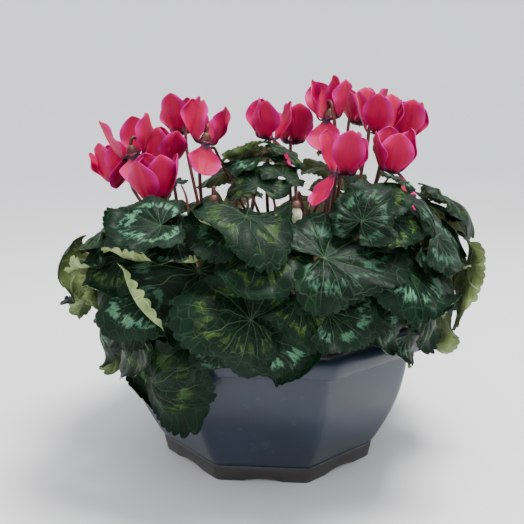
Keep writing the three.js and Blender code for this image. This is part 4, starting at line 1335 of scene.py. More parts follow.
class Shader:
    """A material under construction, with its Principled shader."""

    def __init__(self, name: str, **constants: float | Sequence[float]) -> None:
        """Starts a material.

        Args:
            name: The material's name.
            constants: Values of the shader's own sockets, with spaces written as underscores.
        """
        self.material = bpy.data.materials.new(name)
        self.material.use_nodes = True
        self.tree = self.material.node_tree
        self.surface = self.tree.nodes["Principled BSDF"]
        for key, value in constants.items():
            self.surface.inputs[key.replace("_", " ")].default_value = value

    def node(self, kind: str, settings: dict[str, object] | None = None,
             inputs: dict[int | str, Value] | None = None) -> bpy.types.Node:
        """Adds a node.

        Args:
            kind: Its type.
            settings: Properties, set first.
            inputs: Values, wires or colour codes for its sockets.

        Returns:
            The node.
        """
        made = self.tree.nodes.new(kind)
        for key, value in (settings or {}).items():
            setattr(made, key, value)
        for key, value in (inputs or {}).items():
            if isinstance(value, Wire):
                self.tree.links.new(value.socket, made.inputs[key])
            else:
                made.inputs[key].default_value = tint(value) if isinstance(value, str) else value
        return made

    def wire(self, kind: str, settings: dict[str, object] | None = None,
             inputs: dict[int | str, Value] | None = None, output: int | str = 0) -> Wire:
        """Adds a node and gives one of its outputs."""
        return Wire(self, self.node(kind, settings, inputs).outputs[output])

    def math(self, kind: str, operation: str, *values: Value) -> Wire:
        """Result of a Math or Vector Math node fed with the values in order."""
        return self.wire(kind, {"operation": operation}, dict(enumerate(values)))

    def feed(self, **wires: Wire) -> bpy.types.Material:
        """Links wires to the shader's sockets and returns the finished material."""
        for key, wire in wires.items():
            self.tree.links.new(wire.socket, self.surface.inputs[key.replace("_", " ")])
        return self.material

    def place(self) -> Wire:
        """Object coordinates."""
        return self.wire("ShaderNodeTexCoord", output="Object")

    def attribute(self, name: str) -> Wire:
        """A number kept on the mesh."""
        return self.wire("ShaderNodeAttribute", {"attribute_name": name}, output="Fac")

    def parts(self, vector: Wire) -> tuple[Wire, Wire, Wire]:
        """The three numbers of a vector."""
        made = self.node("ShaderNodeSeparateXYZ", None, {0: vector})
        return tuple(Wire(self, socket) for socket in made.outputs)

    def sheet(self) -> tuple[Wire, Wire, Wire]:
        """The sheet's own coordinates, as a vector and as its two numbers."""
        uv = self.wire("ShaderNodeUVMap", {"uv_map": "UVMap"})
        return uv, *self.parts(uv)[:2]

    def vector(self, operation: str, *values: Value) -> Wire:
        """Result of a Vector Math node."""
        return self.math("ShaderNodeVectorMath", operation, *values)

    def join(self, x: Value, y: Value, z: Value = 0.0) -> Wire:
        """A vector made of three numbers."""
        return self.wire("ShaderNodeCombineXYZ", None, {0: x, 1: y, 2: z})

    def noise(self, at: Wire, scale: float, detail: float = 2.0, rough: float = 0.5) -> Wire:
        """Noise between about 0.2 and 0.8."""
        inputs = {"Vector": at, "Scale": scale, "Detail": detail, "Roughness": rough}
        return self.wire("ShaderNodeTexNoise", None, inputs)

    def cells(self, at: Wire, scale: float, feature: str = "DISTANCE_TO_EDGE") -> Wire:
        """Distance to the walls of, or to the points in, a pattern of cells."""
        inputs = {"Vector": at, "Scale": scale}
        return self.wire("ShaderNodeTexVoronoi", {"feature": feature}, inputs, "Distance")

    def mix(self, share: Value, first: Value, second: Value) -> Wire:
        """Mix of two colours."""
        return self.wire("ShaderNodeMix", {"data_type": "RGBA"}, {0: share, 6: first, 7: second}, 2)

    def bump(self, height: Wire, depth: float, strength: float = 1.0) -> Wire:
        """Normal bent by a height that is 1 at the given depth in metres."""
        inputs = {"Height": height, "Distance": depth, "Strength": strength}
        return self.wire("ShaderNodeBump", None, inputs)

    def ribs(self, x: Wire, y: Wire) -> tuple[Wire, Wire]:
        """Angle round the petiole, and distance from the nearest main vein of a blade.

        Args:
            x: Across the blade.
            y: Along the blade.

        Returns:
            Both values.
        """
        angle = y.math("ARCTAN2", x)
        turns = (angle * RIBS + 0.5).math("FRACT")
        return angle, turns.distance(0.5) * (x * x + y * y) ** 0.5


# ------------------------------------------------------------------ finishes
RIBS = 11 / 5.52  # main veins of a blade to a radian
CHART = 2.2  # width of the chart of a blade, in lengths of the blade


@dataclass(frozen=True)
class BladeFinish:
    """Upper face of a leaf: dark blue-green with a broken silver band and pale veins."""

    dark: str = "020f08"
    edge: str = "082210"
    silver: str = "5f9274"
    olive: str = "3f5a1c"
    vein: str = "84a87c"
    shade: str = "0a2616"

    def build(self) -> bpy.types.Material:
        """Makes the material.

        Returns:
            The material.
        """
        s = Shader("leaf_upper", Roughness=0.42, Specular_IOR_Level=0.11)
        uv, u, v = s.sheet()
        tone, out = s.attribute("tone"), s.attribute("margin")
        shifted = s.vector("ADD", uv, s.join(tone * 7.0, tone * 13.0))
        stray = s.noise(shifted, 4.5, 2.0) - 0.5
        angle, rib = s.ribs((u - 0.5) * CHART, (v - 0.5 + stray * 0.12) * CHART)
        patches = s.noise(shifted, 9.0, 3.0, 0.6)
        speckle = s.noise(shifted, 46.0, 3.0, 0.65)
        strokes = s.noise(s.join(angle * 2.6, out * 1.1, tone * 9.0), 3.0, 3.0, 0.6)
        wander = out + (patches - 0.5) * 0.36 + (strokes - 0.5) * 0.5 + rib * 0.3
        band = wander.step(0.46, 0.53) * wander.step(0.74, 0.66)
        band = band * (strokes * 0.6 + patches * 0.4).step(0.46, 0.54)
        silver = band * (0.35 + speckle * 0.9) * (0.3 + tone * 0.7)
        green = s.mix(patches.step(0.3, 0.7), self.dark, self.edge)
        green = s.mix(tone * 0.5, green, self.shade)
        patch = s.mix((tone * 5.0).math("FRACT").step(0.55, 0.6), self.silver, self.olive)
        colour = s.mix(silver, green, patch)
        nerve = rib.step(0.013, 0.003) * out.step(0.92, 0.5)
        net = s.cells(shifted, 15.0).step(0.055, 0.012) * 0.55
        veins = (nerve * 0.45).math("MAXIMUM", net * (0.15 + silver))
        colour = s.mix(veins * (0.25 + speckle * 0.5), colour, self.vein)
        relief = 1 - nerve.math("MAXIMUM", net)
        bump = s.bump(relief + speckle * 0.25, 0.0005, 0.8)
        return s.feed(Base_Color=colour, Roughness=0.38 + speckle * 0.2, Normal=bump)


@dataclass(frozen=True)
class UnderFinish:
    """Underside of a leaf: pale yellow-green with raised veins and a reddish tinge."""

    pale: str = "8c9c62"
    green: str = "50703a"
    red: str = "7c5a44"
    vein: str = "aab784"

    def build(self) -> bpy.types.Material:
        """Makes the material.

        Returns:
            The material.
        """
        s = Shader("leaf_under", Roughness=0.6, Specular_IOR_Level=0.3)
        uv, u, v = s.sheet()
        tone, out = s.attribute("tone"), s.attribute("margin")
        shifted = s.vector("ADD", uv, s.join(tone * 5.0, tone * 11.0))
        _, rib = s.ribs((u - 0.5) * CHART, (v - 0.5) * CHART)
        nerve = rib.step(0.03, 0.006) * out.step(1.0, 0.85)
        net = s.cells(shifted, 15.0).step(0.06, 0.015)
        cloud = s.noise(shifted, 7.0, 2.0)
        colour = s.mix(cloud.step(0.35, 0.65), self.pale, self.green)
        colour = s.mix((tone * 0.5) * cloud.step(0.4, 0.7), colour, self.red)
        colour = s.mix((nerve * 0.7).math("MAXIMUM", net * 0.3), colour, self.vein)
        bump = s.bump(nerve.math("MAXIMUM", net * 0.6), 0.0005, 0.9)
        return s.feed(Base_Color=colour, Roughness=0.52 + cloud * 0.15, Normal=bump)


@dataclass(frozen=True)
class StalkFinish:
    """Fleshy stalk, mottled along its length."""

    name: str
    dark: str
    light: str

    def build(self) -> bpy.types.Material:
        """Makes the material.

        Returns:
            The material.
        """
        s = Shader(self.name, Roughness=0.5)
        at = s.place()
        mottle = s.noise(at, 220.0, 3.0, 0.6)
        long = s.noise(s.vector("MULTIPLY", at, (1.0, 1.0, 0.15)), 160.0, 2.0)
        colour = s.mix(long.step(0.35, 0.68), self.dark, self.light)
        colour = s.mix(mottle.step(0.5, 0.7) * 0.35, colour, self.dark)
        bump = s.bump(mottle, 0.0002, 0.5)
        return s.feed(Base_Color=colour, Roughness=0.4 + mottle * 0.25, Normal=bump)


@dataclass(frozen=True)
class PetalFinish:
    """Petal: deep purple at its base, crimson over most of it, pinker along its edges and towards
    its tip, partly its own colour and partly painted highlight.
    """

    eye: str = "25041f"
    body: str = "b00046"
    # Pinker edge colour: partly the petal's own colour, partly painted highlight along the edges
    # that catch light.
    edge: str = "cc0890"
    blush: str = "c00236"
    streak: str = "74033c"

    def build(self) -> bpy.types.Material:
        """Makes the material.

        Returns:
            The material.
        """
        s = Shader("petal", Roughness=0.6, Specular_IOR_Level=0.2)
        _, u, v = s.sheet()
        tone = s.attribute("tone")
        side = u.distance(0.5) * 2.0
        streaks = s.noise(s.join(u * 26.0, v * 1.6, tone * 9.0), 1.6, 3.0, 0.55)
        cloud = s.noise(s.join(u * 2.0, v * 2.6, tone * 17.0), 1.6, 2.0)
        colour = s.mix(cloud.step(0.3, 0.7) * 0.5, self.body, self.blush)
        # Pinker along the edges and towards the tip: partly the petal's own colour, partly painted
        # highlight.
        rim = (side + v * 0.45 + (streaks - 0.5) * 0.5).step(0.75, 1.35)
        colour = s.mix(rim * 0.75, colour, self.edge)
        colour = s.mix(streaks.step(0.5, 0.75) * 0.3, colour, self.streak)
        base = (v + (streaks - 0.5) * 0.18 - (1 - side) * 0.05).step(0.2, 0.07)
        colour = s.mix(base, colour, self.eye)
        bump = s.bump(streaks, 0.0004, 0.7)
        return s.feed(Base_Color=colour, Roughness=0.45 + streaks * 0.2, Normal=bump)


@dataclass(frozen=True)
class ThroatFinish:
    """The dark purple throat of a bloom."""

    dark: str = "3d0526"
    light: str = "8c1246"

    def build(self) -> bpy.types.Material:
        """Makes the material.

        Returns:
            The material.
        """
        s = Shader("throat", Roughness=0.5)
        grain = s.noise(s.place(), 420.0, 3.0)
        colour = s.mix(grain.step(0.4, 0.7), self.dark, self.light)
        return s.feed(Base_Color=colour, Normal=s.bump(grain, 0.0002, 0.6))


@dataclass(frozen=True)
class BudFinish:
    """Unopened petals rolled round each other, cream with a faint green base."""

    cream: str = "e4dcb4"
    green: str = "a9b47c"
    pale: str = "f2ecd2"

    def build(self) -> bpy.types.Material:
        """Makes the material.

        Returns:
            The material.
        """
        s = Shader("bud", Roughness=0.5, Subsurface_Weight=0.2, Subsurface_Scale=0.003)
        _, u, v = s.sheet()
        streaks = s.noise(s.join(u * 14.0, v * 1.2), 1.5, 3.0)
        colour = s.mix(streaks.step(0.35, 0.7), self.cream, self.pale)
        colour = s.mix((v + (streaks - 0.5) * 0.3).step(0.7, 1.0), colour, self.green)
        grain = s.noise(s.place(), 500.0)
        bump = s.bump(streaks, 0.0003, 0.6)
        return s.feed(Base_Color=colour, Roughness=0.42 + grain * 0.2, Normal=bump)


@dataclass(frozen=True)
class PotFinish:
    """Slate-grey moulded plastic with a satin gloss, faint flow marks, dust, and darker brown
    towards the foot.
    """

    slate: str = "142234"
    deep: str = "0e1a29"
    dust: str = "5f6a76"
    # Darker brown that the pot's colour turns to towards its foot.
    foot_brown: str = "342e27"

    def build(self) -> bpy.types.Material:
        """Makes the material.

        Returns:
            The material.
        """
        s = Shader("pot_plastic", Roughness=0.32, Specular_IOR_Level=0.4, Coat_Weight=0.12,
                   Coat_Roughness=0.18)
        at = s.place()
        flow = s.noise(s.vector("MULTIPLY", at, (1.0, 1.0, 2.4)), 14.0, 3.0, 0.55)
        grain = s.noise(at, 900.0, 2.0)
        colour = s.mix(flow.step(0.35, 0.68), self.slate, self.deep)
        dust = s.noise(at, 120.0, 4.0, 0.7).step(0.58, 0.72) * 0.16
        colour = s.mix(dust, colour, self.dust)
        height = s.parts(at)[2] * (1 / MM)
        # Darker brown towards the foot: full below about 11 mm, gone above about 15.5 mm.
        foot_brown = (height + (flow - 0.5) * 10.0).step(15.5, 11.0)
        colour = s.mix(foot_brown * 0.75, colour, self.foot_brown)
        rough = 0.27 + flow * 0.1 + dust * 0.8
        bump = s.bump(grain + flow * 3.0, 0.0002, 0.25)
        return s.feed(Base_Color=colour, Roughness=rough, Normal=bump)


@dataclass(frozen=True)
class SoilFinish:
    """Moist potting soil with paler fibres."""

    dark: str = "1a130e"
    brown: str = "3a2a1e"
    fibre: str = "5b4733"

    def build(self) -> bpy.types.Material:
        """Makes the material.

        Returns:
            The material.
        """
        s = Shader("soil_crumb", Roughness=0.9)
        at = s.place()
        crumb = s.noise(at, 240.0, 5.0, 0.7)
        clods = s.cells(at, 260.0, "F1")
        colour = s.mix(crumb.step(0.4, 0.65), self.dark, self.brown)
        colour = s.mix(s.noise(at, 90.0, 3.0).step(0.62, 0.72) * 0.5, colour, self.fibre)
        bump = s.bump(crumb + clods * 0.8, 0.0018)
        return s.feed(Base_Color=colour, Roughness=0.78 + crumb * 0.2, Normal=bump)


@dataclass(frozen=True)
class TuberFinish:
    """Corky brown skin with scaly patches."""

    dark: str = "3a2416"
    cork: str = "7c5a3c"

    def build(self) -> bpy.types.Material:
        """Makes the material.

        Returns:
            The material.
        """
        s = Shader("tuber_cork", Roughness=0.85)
        at = s.place()
        scales = s.cells(at, 150.0)
        grain = s.noise(at, 300.0, 4.0, 0.65)
        colour = s.mix(scales.step(0.02, 0.25), self.dark, self.cork)
        colour = s.mix(grain.step(0.5, 0.7) * 0.5, colour, self.dark)
        bump = s.bump(scales * 2.0 + grain, 0.0012)
        return s.feed(Base_Color=colour, Roughness=0.7 + grain * 0.2, Normal=bump)


class Finishes:
    """Every finish, made once."""

    def __init__(self) -> None:
        """Builds the materials."""
        self.blade = BladeFinish().build()
        self.under = UnderFinish().build()
        self.petiole = StalkFinish("leaf_stalk", "4a2019", "84604a").build()
        self.scape = StalkFinish("flower_stalk", "3a130f", "6e2f26").build()
        self.calyx = StalkFinish("calyx", "4a1a1c", "6c4a38").build()
        self.petal = PetalFinish().build()
        self.throat = ThroatFinish().build()
        self.bud = BudFinish().build()
        self.pot = PotFinish().build()
        self.soil = SoilFinish().build()
        self.tuber = TuberFinish().build()


# ------------------------------------------------------------------ mesh making
Verts = list[bmesh.types.BMVert]
Edges = list[bmesh.types.BMEdge]
Faces = list[bmesh.types.BMFace]
Profile = Sequence[tuple[float, float]]
Surface = Callable[[Array, Array], Array]


def spin(bm: bmesh.types.BMesh, profile: Profile, segments: int) -> Verts:
    """Turns radii and heights about the Z axis; gives what is left of the turned line.

    Args:
        bm: The mesh.
        profile: Radii and heights.
        segments: Number of segments.

    Returns:
        The line's points that are left.
    """
    line = [bm.verts.new((radius, 0, height)) for radius, height in profile]
    wires = [bm.edges.new(pair) for pair in zip(line, line[1:])]
    bmesh.ops.spin(bm, geom=line + wires, cent=(0, 0, 0), axis=(0, 0, 1), angle=math.tau,
                   steps=segments, use_merge=True)
    return [v for v in line if v.is_valid]


def extruded(bm: bmesh.types.BMesh, edges: Edges) -> tuple[Verts, Edges, Faces]:
    """Extrudes edges; gives the new points, the new open edges and the new faces.

    Args:
        bm: The mesh.
        edges: The edges.

    Returns:
        Points, open edges and faces.
    """
    geom = bmesh.ops.extrude_edge_only(bm, edges=edges)["geom"]
    kinds = (bmesh.types.BMVert, bmesh.types.BMEdge, bmesh.types.BMFace)
    verts, open_edges, faces = ([g for g in geom if isinstance(g, kind)] for kind in kinds)
    return verts, [e for e in open_edges if len(e.link_faces) == 1], faces


def shown(name: str, data: bpy.types.ID) -> bpy.types.Object:
    """A new object in the scene.

    Args:
        name: Its name.
        data: What it shows.

    Returns:
        The object.
    """
    made = bpy.data.objects.new(name, data)
    bpy.context.scene.collection.objects.link(made)
    return made


def finished(name: str, bm: bmesh.types.BMesh, *materials: bpy.types.Material) -> bpy.types.Mesh:
    """The mesh made so far, with its finishes.

    Args:
        name: Its name.
        bm: The mesh being made, which ends here.

    Returns:
        The mesh.
    """
    mesh = bpy.data.meshes.new(name)
    bm.to_mesh(mesh)
    bm.free()
    for material in materials:
        mesh.materials.append(material)
    return mesh


class Piece:
    """A mesh under construction in millimetres, which becomes one named object."""

    def __init__(self, name: str, *materials: bpy.types.Material) -> None:
        """Starts an empty mesh with its finishes.

        Args:
            name: The piece's name.
        """
        self.name = name
        self.materials = materials
        self.bm = bmesh.new()
        self.uv = self.bm.loops.layers.uv.new("UVMap")
        self.tone = self.bm.verts.layers.float.new("tone")
        self.margin = self.bm.verts.layers.float.new("margin")

    def sheet(self, columns: int, rows: int, place: Surface, thickness: float, tone: float = 0.0,
              faces: tuple[int, int] = (0, 0), chart: Surface | None = None,
              weld: float = 0.02) -> None:
        """Adds a thin sheet bent over a surface.

        Args:
            columns: Faces across it.
            rows: Faces along it.
            place: Gives positions from two coordinates between 0 and 1.
            thickness: Its thickness, which lies behind the surface.
            tone: A number that sets this sheet apart from others with the same finish.
            faces: Finishes of its front and its back.
            chart: Gives the sheet's own flat coordinates from the same two coordinates.
            weld: Points closer than this become one.
        """
        bm = self.bm
        verts = bmesh.ops.create_grid(bm, x_segments=columns, y_segments=rows, size=0.5,
                                      calc_uvs=True)["verts"]
        flat = np.array([v.co[:2] for v in verts]) + 0.5
        points = place(flat[:, 0], flat[:, 1])
        for vert, point, along in zip(verts, points, flat[:, 1]):
            vert.co = point
            vert[self.tone] = tone
            vert[self.margin] = along
        if chart is not None:
            charted = dict(zip(verts, chart(flat[:, 0], flat[:, 1])))
            for face in {f for v in verts for f in v.link_faces}:
                for loop in face.loops:
                    loop[self.uv].uv = charted[loop.vert]
        verts = self.welded(verts, weld)
        front = list({f for v in verts for f in v.link_faces})
        for face in front:
            face.material_index = faces[0]
            face.smooth = True
        edges = list({e for f in front for e in f.edges})
        grown = bmesh.ops.solidify(bm, geom=front + edges + verts, thickness=thickness)["geom"]
        for item in grown:
            if isinstance(item, bmesh.types.BMFace):
                item.material_index = faces[1]
                item.smooth = True

    def welded(self, verts: Verts, distance: float) -> Verts:
        """Merges the points that lie on each other and returns those that stay."""
        bmesh.ops.remove_doubles(self.bm, verts=verts, dist=distance)
        return [v for v in verts if v.is_valid]

    def tube(self, path: Array, taper: Profile, sides: int) -> None:
        """Sweeps a round section along a path and closes both ends.

        Args:
            path: The points it passes through.
            taper: Its radius at some shares of the path's points, as share and radius.
            sides: Number of sides.
        """
        bm = self.bm
        radii = np.interp(np.linspace(0, 1, len(path)), *zip(*taper))
        ways = unit(np.gradient(path, axis=0))
        across = unit(np.cross(ways[0], [0.31, 0.87, 0.38]))
        frames = []
        for point, way, radius in zip(path, ways, radii):
            across = unit(across - way * across.dot(way))
            axes = (across * radius, np.cross(way, across) * radius, way * radius)
            frames.append(Matrix(axes_at(*axes, point).tolist()))
        ring = bmesh.ops.create_circle(bm, cap_ends=True, segments=sides, radius=1,
                                       matrix=frames[0])["verts"]
        made = {f for v in ring for f in v.link_faces}
        edges = list({e for v in ring for e in v.link_edges})
        for last, now in zip(frames, frames[1:]):
            verts, edges, faces = extruded(bm, edges)
            bmesh.ops.transform(bm, matrix=now @ last.inverted(), verts=verts)
            made.update(faces)
        made.update(bmesh.ops.contextual_create(bm, geom=edges)["faces"])
        self.close(made)

    def turned(self, profile: Profile, segments: int, matrix: Matrix, material: int = 0) -> Verts:
        """Turns a profile round its axis.

        Args:
            profile: Radius and height of its points, closed or ending on the axis.
            segments: Number of segments round it.
            matrix: Takes the turned shape to its place.
            material: Its finish.

        Returns:
            Its points.
        """
        before = set(self.bm.verts)
        spin(self.bm, profile, segments)
        verts = self.welded([v for v in self.bm.verts if v not in before], 0.001)
        bmesh.ops.transform(self.bm, matrix=matrix, verts=verts)
        self.close({f for v in verts for f in v.link_faces}, material)
        return verts

    def close(self, faces: Iterable[bmesh.types.BMFace], material: int = 0) -> None:
        """Turns faces outwards, smooths them and gives them a finish.

        Args:
            faces: The faces.
            material: Their finish.
        """
        found = list(faces)
        bmesh.ops.recalc_face_normals(self.bm, faces=found)
        for face in found:
            face.smooth = True
            face.material_index = material

    def done(self, slot: str, *nodes: str) -> bpy.types.Object:
        """Turns the mesh into an object that stands for CAD nodes.

        Args:
            slot: Not used.
            nodes: The CAD nodes it stands for.

        Returns:
            The object.
        """
        bmesh.ops.scale(self.bm, vec=(MM, MM, MM), verts=self.bm.verts)
        mesh = finished(self.name, self.bm, *self.materials)
        mesh.set_sharp_from_angle(angle=math.radians(52))
        made = shown(self.name, mesh)
        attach(made, "root")
        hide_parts(*nodes)
        mesh.calc_loop_triangles()
        LOG.info("%s: %d triangles", self.name, len(mesh.loop_triangles))
        return made


# ------------------------------------------------------------------ bowl, soil and tubers
HALF_SIDE = math.radians(22.5)


@dataclass
class Bowl:
    """The octagonal bowl, moulded as one piece with an overhanging rolled rim."""

    sizes: PotSizes = POT
    corner_steps: int = 5
    flat_cuts: int = 15

    def ring(self, piece: Piece, radius: float, z: float) -> Edges:
        """A closed outline of the bowl with rounded corners.

        Args:
            piece: The mesh it is added to.
            radius: Radius to the sharp corner.
            z: Its height.

        Returns:
            Its edges.
        """
        bm, s = piece.bm, self.sizes
        turn = Matrix.Translation((0, 0, z)) @ Matrix.Rotation(HALF_SIDE, 4, "Z")
        verts = bmesh.ops.create_circle(bm, cap_ends=True, segments=8, radius=radius,
                                        matrix=turn)["verts"]
        offset = s.corner_radius * math.tan(HALF_SIDE) * radius / s.rim_radius
        bevelled = bmesh.ops.bevel(bm, geom=verts, offset=offset, offset_type="OFFSET",
                                   affect="VERTICES", segments=self.corner_steps, profile=0.5,
                                   material=-1)
        face = next(f for f in bevelled["verts"][0].link_faces)
        edges = list(face.edges)
        longest = max(e.calc_length() for e in edges)
        straight = [e for e in edges if e.calc_length() > 0.9 * longest]
        bmesh.ops.subdivide_edges(bm, edges=straight, cuts=self.flat_cuts)
        edges = list(face.edges)
        bmesh.ops.delete(bm, geom=[face], context="FACES_ONLY")
        return edges

    @staticmethod
    def grow(piece: Piece, edges: Edges, steps: Profile, radius: float) -> Edges:
        """Extrudes an outline through a profile.

        Args:
            piece: The mesh.
            edges: The outline to start from.
            steps: Corner radius and height of each next outline.
            radius: Corner radius of the first outline.

        Returns:
            The edges of the last outline.
        """
        bm = piece.bm
        for wide, z in steps:
            verts, edges, _ = extruded(bm, edges)
            bmesh.ops.scale(bm, vec=(wide / radius, wide / radius, 1), verts=verts)
            bmesh.ops.translate(bm, vec=(0, 0, z - verts[0].co.z), verts=verts)
            radius = wide
        return edges

    def outside(self) -> list[tuple[float, float]]:
        """Profile from the foot's outer corner up to the underside of the rim.

        Returns:
            Radii and heights.
        """
        foot, body = self.sizes.foot_radius, self.sizes.body
        heights = np.linspace(body[0][0], body[-1][0], 26)
        radii = np.interp(heights, [z for z, _ in body], [r for _, r in body])
        padded = np.pad(radii, 3, mode="reflect", reflect_type="odd")
        eased = np.convolve(padded, np.full(7, 1 / 7), "valid")
        groove = [(0, 1.2), (2.2, 12.2), (1.9, 13.0), (1.2, 13.5), (2.6, 14.1)]
        wall = list(zip(eased.tolist(), heights.tolist()))
        return [(foot + out, z) for out, z in groove] + wall[1:]

    def rim(self) -> list[tuple[float, float]]:
        """Profile of the rim, from under its lip over its rolled top to the inner wall.

        Returns:
            Radii and heights.
        """
        s = self.sizes
        radius, top, low, roll = s.rim_radius, s.rim_top, s.rim_bottom, s.rim_roll
        arc = [math.radians(90 * k / 8) for k in range(9)]
        rolled = [(radius - roll + roll * math.cos(a), top - roll + roll * math.sin(a))
                  for a in arc]
        under = [(radius - i, top - d) for i, d in ((14, 7), (13, 6), (4.4, 6), (3.6, 7))]
        lip = [(radius - i, low + h) for i, h in ((3.3, 0.5), (2.8, 0), (0.6, 0), (0, 0.6))]
        inner = [(radius - i, top - d) for i, d in ((11, 0.2), (13.4, 1.4), (15.2, 3.6), (16.2, 7))]
        return under + lip + rolled + inner

    def inside(self) -> list[tuple[float, float]]:
        """Profile of the inner wall, from the rim down to the floor.

        Returns:
            Radii and heights.
        """
        s = self.sizes
        walls = [(r - s.wall, z) for z, r in reversed(s.body)]
        return walls[:-1] + [(s.foot_radius - s.wall + 1, s.floor)]

    def build(self, finishes: Finishes) -> None:
        """Makes the bowl.

        Args:
            finishes: The planting's finishes.
        """
        s = self.sizes
        piece = Piece("planter_bowl", finishes.pot)
        bm = piece.bm
        sole = s.foot_radius - s.arch_depth
        start = self.ring(piece, sole, 0)
        rounded = [(s.foot_radius - 1.2, 0), (s.foot_radius - 0.35, 0.35)]
        top = self.grow(piece, start, rounded + self.outside() + self.rim() + self.inside(), sole)
        for vert in bm.verts:
            away = vert.co.xy.length
            if vert.co.z < 1.3 and away > sole + 1:
                around = math.degrees(math.atan2(vert.co.y, vert.co.x))
                along = away * math.sin(math.radians((around + 22.5) % 45 - 22.5))
                vert.co.z += s.arch_height * max(0.0, 1 - (2 * along / s.arch_width) ** 2)
        low, high = list(start), list(top)
        out = Matrix.Translation((s.drain_circle, 0, 0))
        for k in range(4):
            at = Matrix.Rotation(math.radians(90 * k), 4, "Z") @ out
            hole = bmesh.ops.create_circle(bm, cap_ends=False, segments=24, radius=s.drain_radius,
                                           matrix=at)["verts"]
            edges = list({e for v in hole for e in v.link_edges})
            verts, upper, _ = extruded(bm, edges)
            bmesh.ops.translate(bm, vec=(0, 0, s.floor), verts=verts)
            low += edges
            high += upper
        for edges in (low, high):
            bmesh.ops.triangle_fill(bm, use_beauty=True, edges=edges)
        piece.close(bm.faces)
        piece.done("pot", "pot")

    def soil(self, finishes: Finishes) -> None:
        """Makes the soil, with crumbs lying on it.

        Args:
            finishes: The planting's finishes.
        """
        piece = Piece("potting_soil", finishes.soil)
        bm = piece.bm
        s = self.sizes
        brim = s.body[-1][1] - s.wall - SOIL.gap
        edge = SOIL.edge - SOIL.below_edge
        start = self.ring(piece, brim, edge)
        inward = [(brim * (1 - k / SOIL.rings), edge) for k in range(1, SOIL.rings)]
        centre = self.grow(piece, start, inward, brim)
        bmesh.ops.contextual_create(bm, geom=centre)
        for vert in bm.verts:
            vert.co.z = self.soil_height(vert.co)
        down = [(r - s.wall - SOIL.gap, z) for z, r in reversed(s.body[1:-1])]
        down.append((s.foot_radius - s.wall, s.floor + 0.5))
        bottom = self.grow(piece, start, down, brim)
        bmesh.ops.contextual_create(bm, geom=bottom)
        for i in range(SOIL.crumbs):
            far, around = brim * 0.94 * math.sqrt(spread(i, 1)), math.tau * spread(i, 2)
            spot = Vector((far * math.cos(around), far * math.sin(around), 0))
            size = 0.7 + 1.7 * spread(i, 3) ** 2
            spot.z = self.soil_height(spot) + 0.3 * size
            pitch = Matrix.Rotation(math.tau * spread(i, 4), 4, "X")
            yaw = Matrix.Rotation(math.tau * spread(i, 5), 4, "Y")
            stretch = Matrix.Diagonal((1 + spread(i, 6), 0.8, 0.6 + 0.4 * spread(i, 7), 1))
            bmesh.ops.create_icosphere(bm, subdivisions=1, radius=size,
                                       matrix=Matrix.Translation(spot) @ (pitch @ yaw) @ stretch)
        piece.close(bm.faces)
        piece.done("soil", "soil")

    def soil_height(self, at: Vector) -> float:
        """Height of the soil at a spot, mounded in the middle and lumpy all over.

        Args:
            at: The spot.

        Returns:
            The height above the ground.
        """
        away = at.xy.length / self.sizes.rim_radius
        mound = lerp(SOIL.crown, SOIL.edge, float(smooth(away, 0.1, 0.85)))
        lumps = SOIL.lump * math.sin(at.x * 0.11 + 1.3) * math.sin(at.y * 0.13 + 0.4)
        fine = 1.3 * noise.noise(Vector((at.x, at.y, 0)) * 0.16)
        fine += 0.8 * noise.noise(Vector((at.x, at.y, 9)) * 0.45)
        rim = SOIL.below_edge * float(smooth(away, 0.8, 0.86))
        return mound + lumps + fine - rim


@dataclass
class Tuber:
    """A flat corky tuber, half sunk in the soil."""

    plant: Plant

    def build(self, finishes: Finishes) -> None:
        """Makes the tuber.

        Args:
            finishes: The planting's finishes.
        """
        name = self.plant.name.lower()
        piece = Piece(f"tuber_cork_{name}", finishes.tuber)
        heights = np.linspace(TUBER_PROFILE[0][1], TUBER_TOP, 16)
        radii = np.interp(heights, [z for _, z in TUBER_PROFILE], [r for r, _ in TUBER_PROFILE])
        top = [(r, TUBER_TOP + h) for r, h in ((16.0, 0.5), (12.0, 0.7), (6.0, 0.2), (0.0, 0.0))]
        profile = [(0.0, heights[0])] + list(zip(radii.tolist(), heights.tolist())) + top
        x, y = self.plant.value
        verts = piece.turned(profile, 40, Matrix.Translation((x, y, 0)))
        for vert in verts:
            lump = noise.noise(vert.co * 0.12) + 0.5 * noise.noise(vert.co * 0.4)
            vert.co += vert.normal * 0.9 * lump
        piece.done("tuber", f"tuber_{name}")


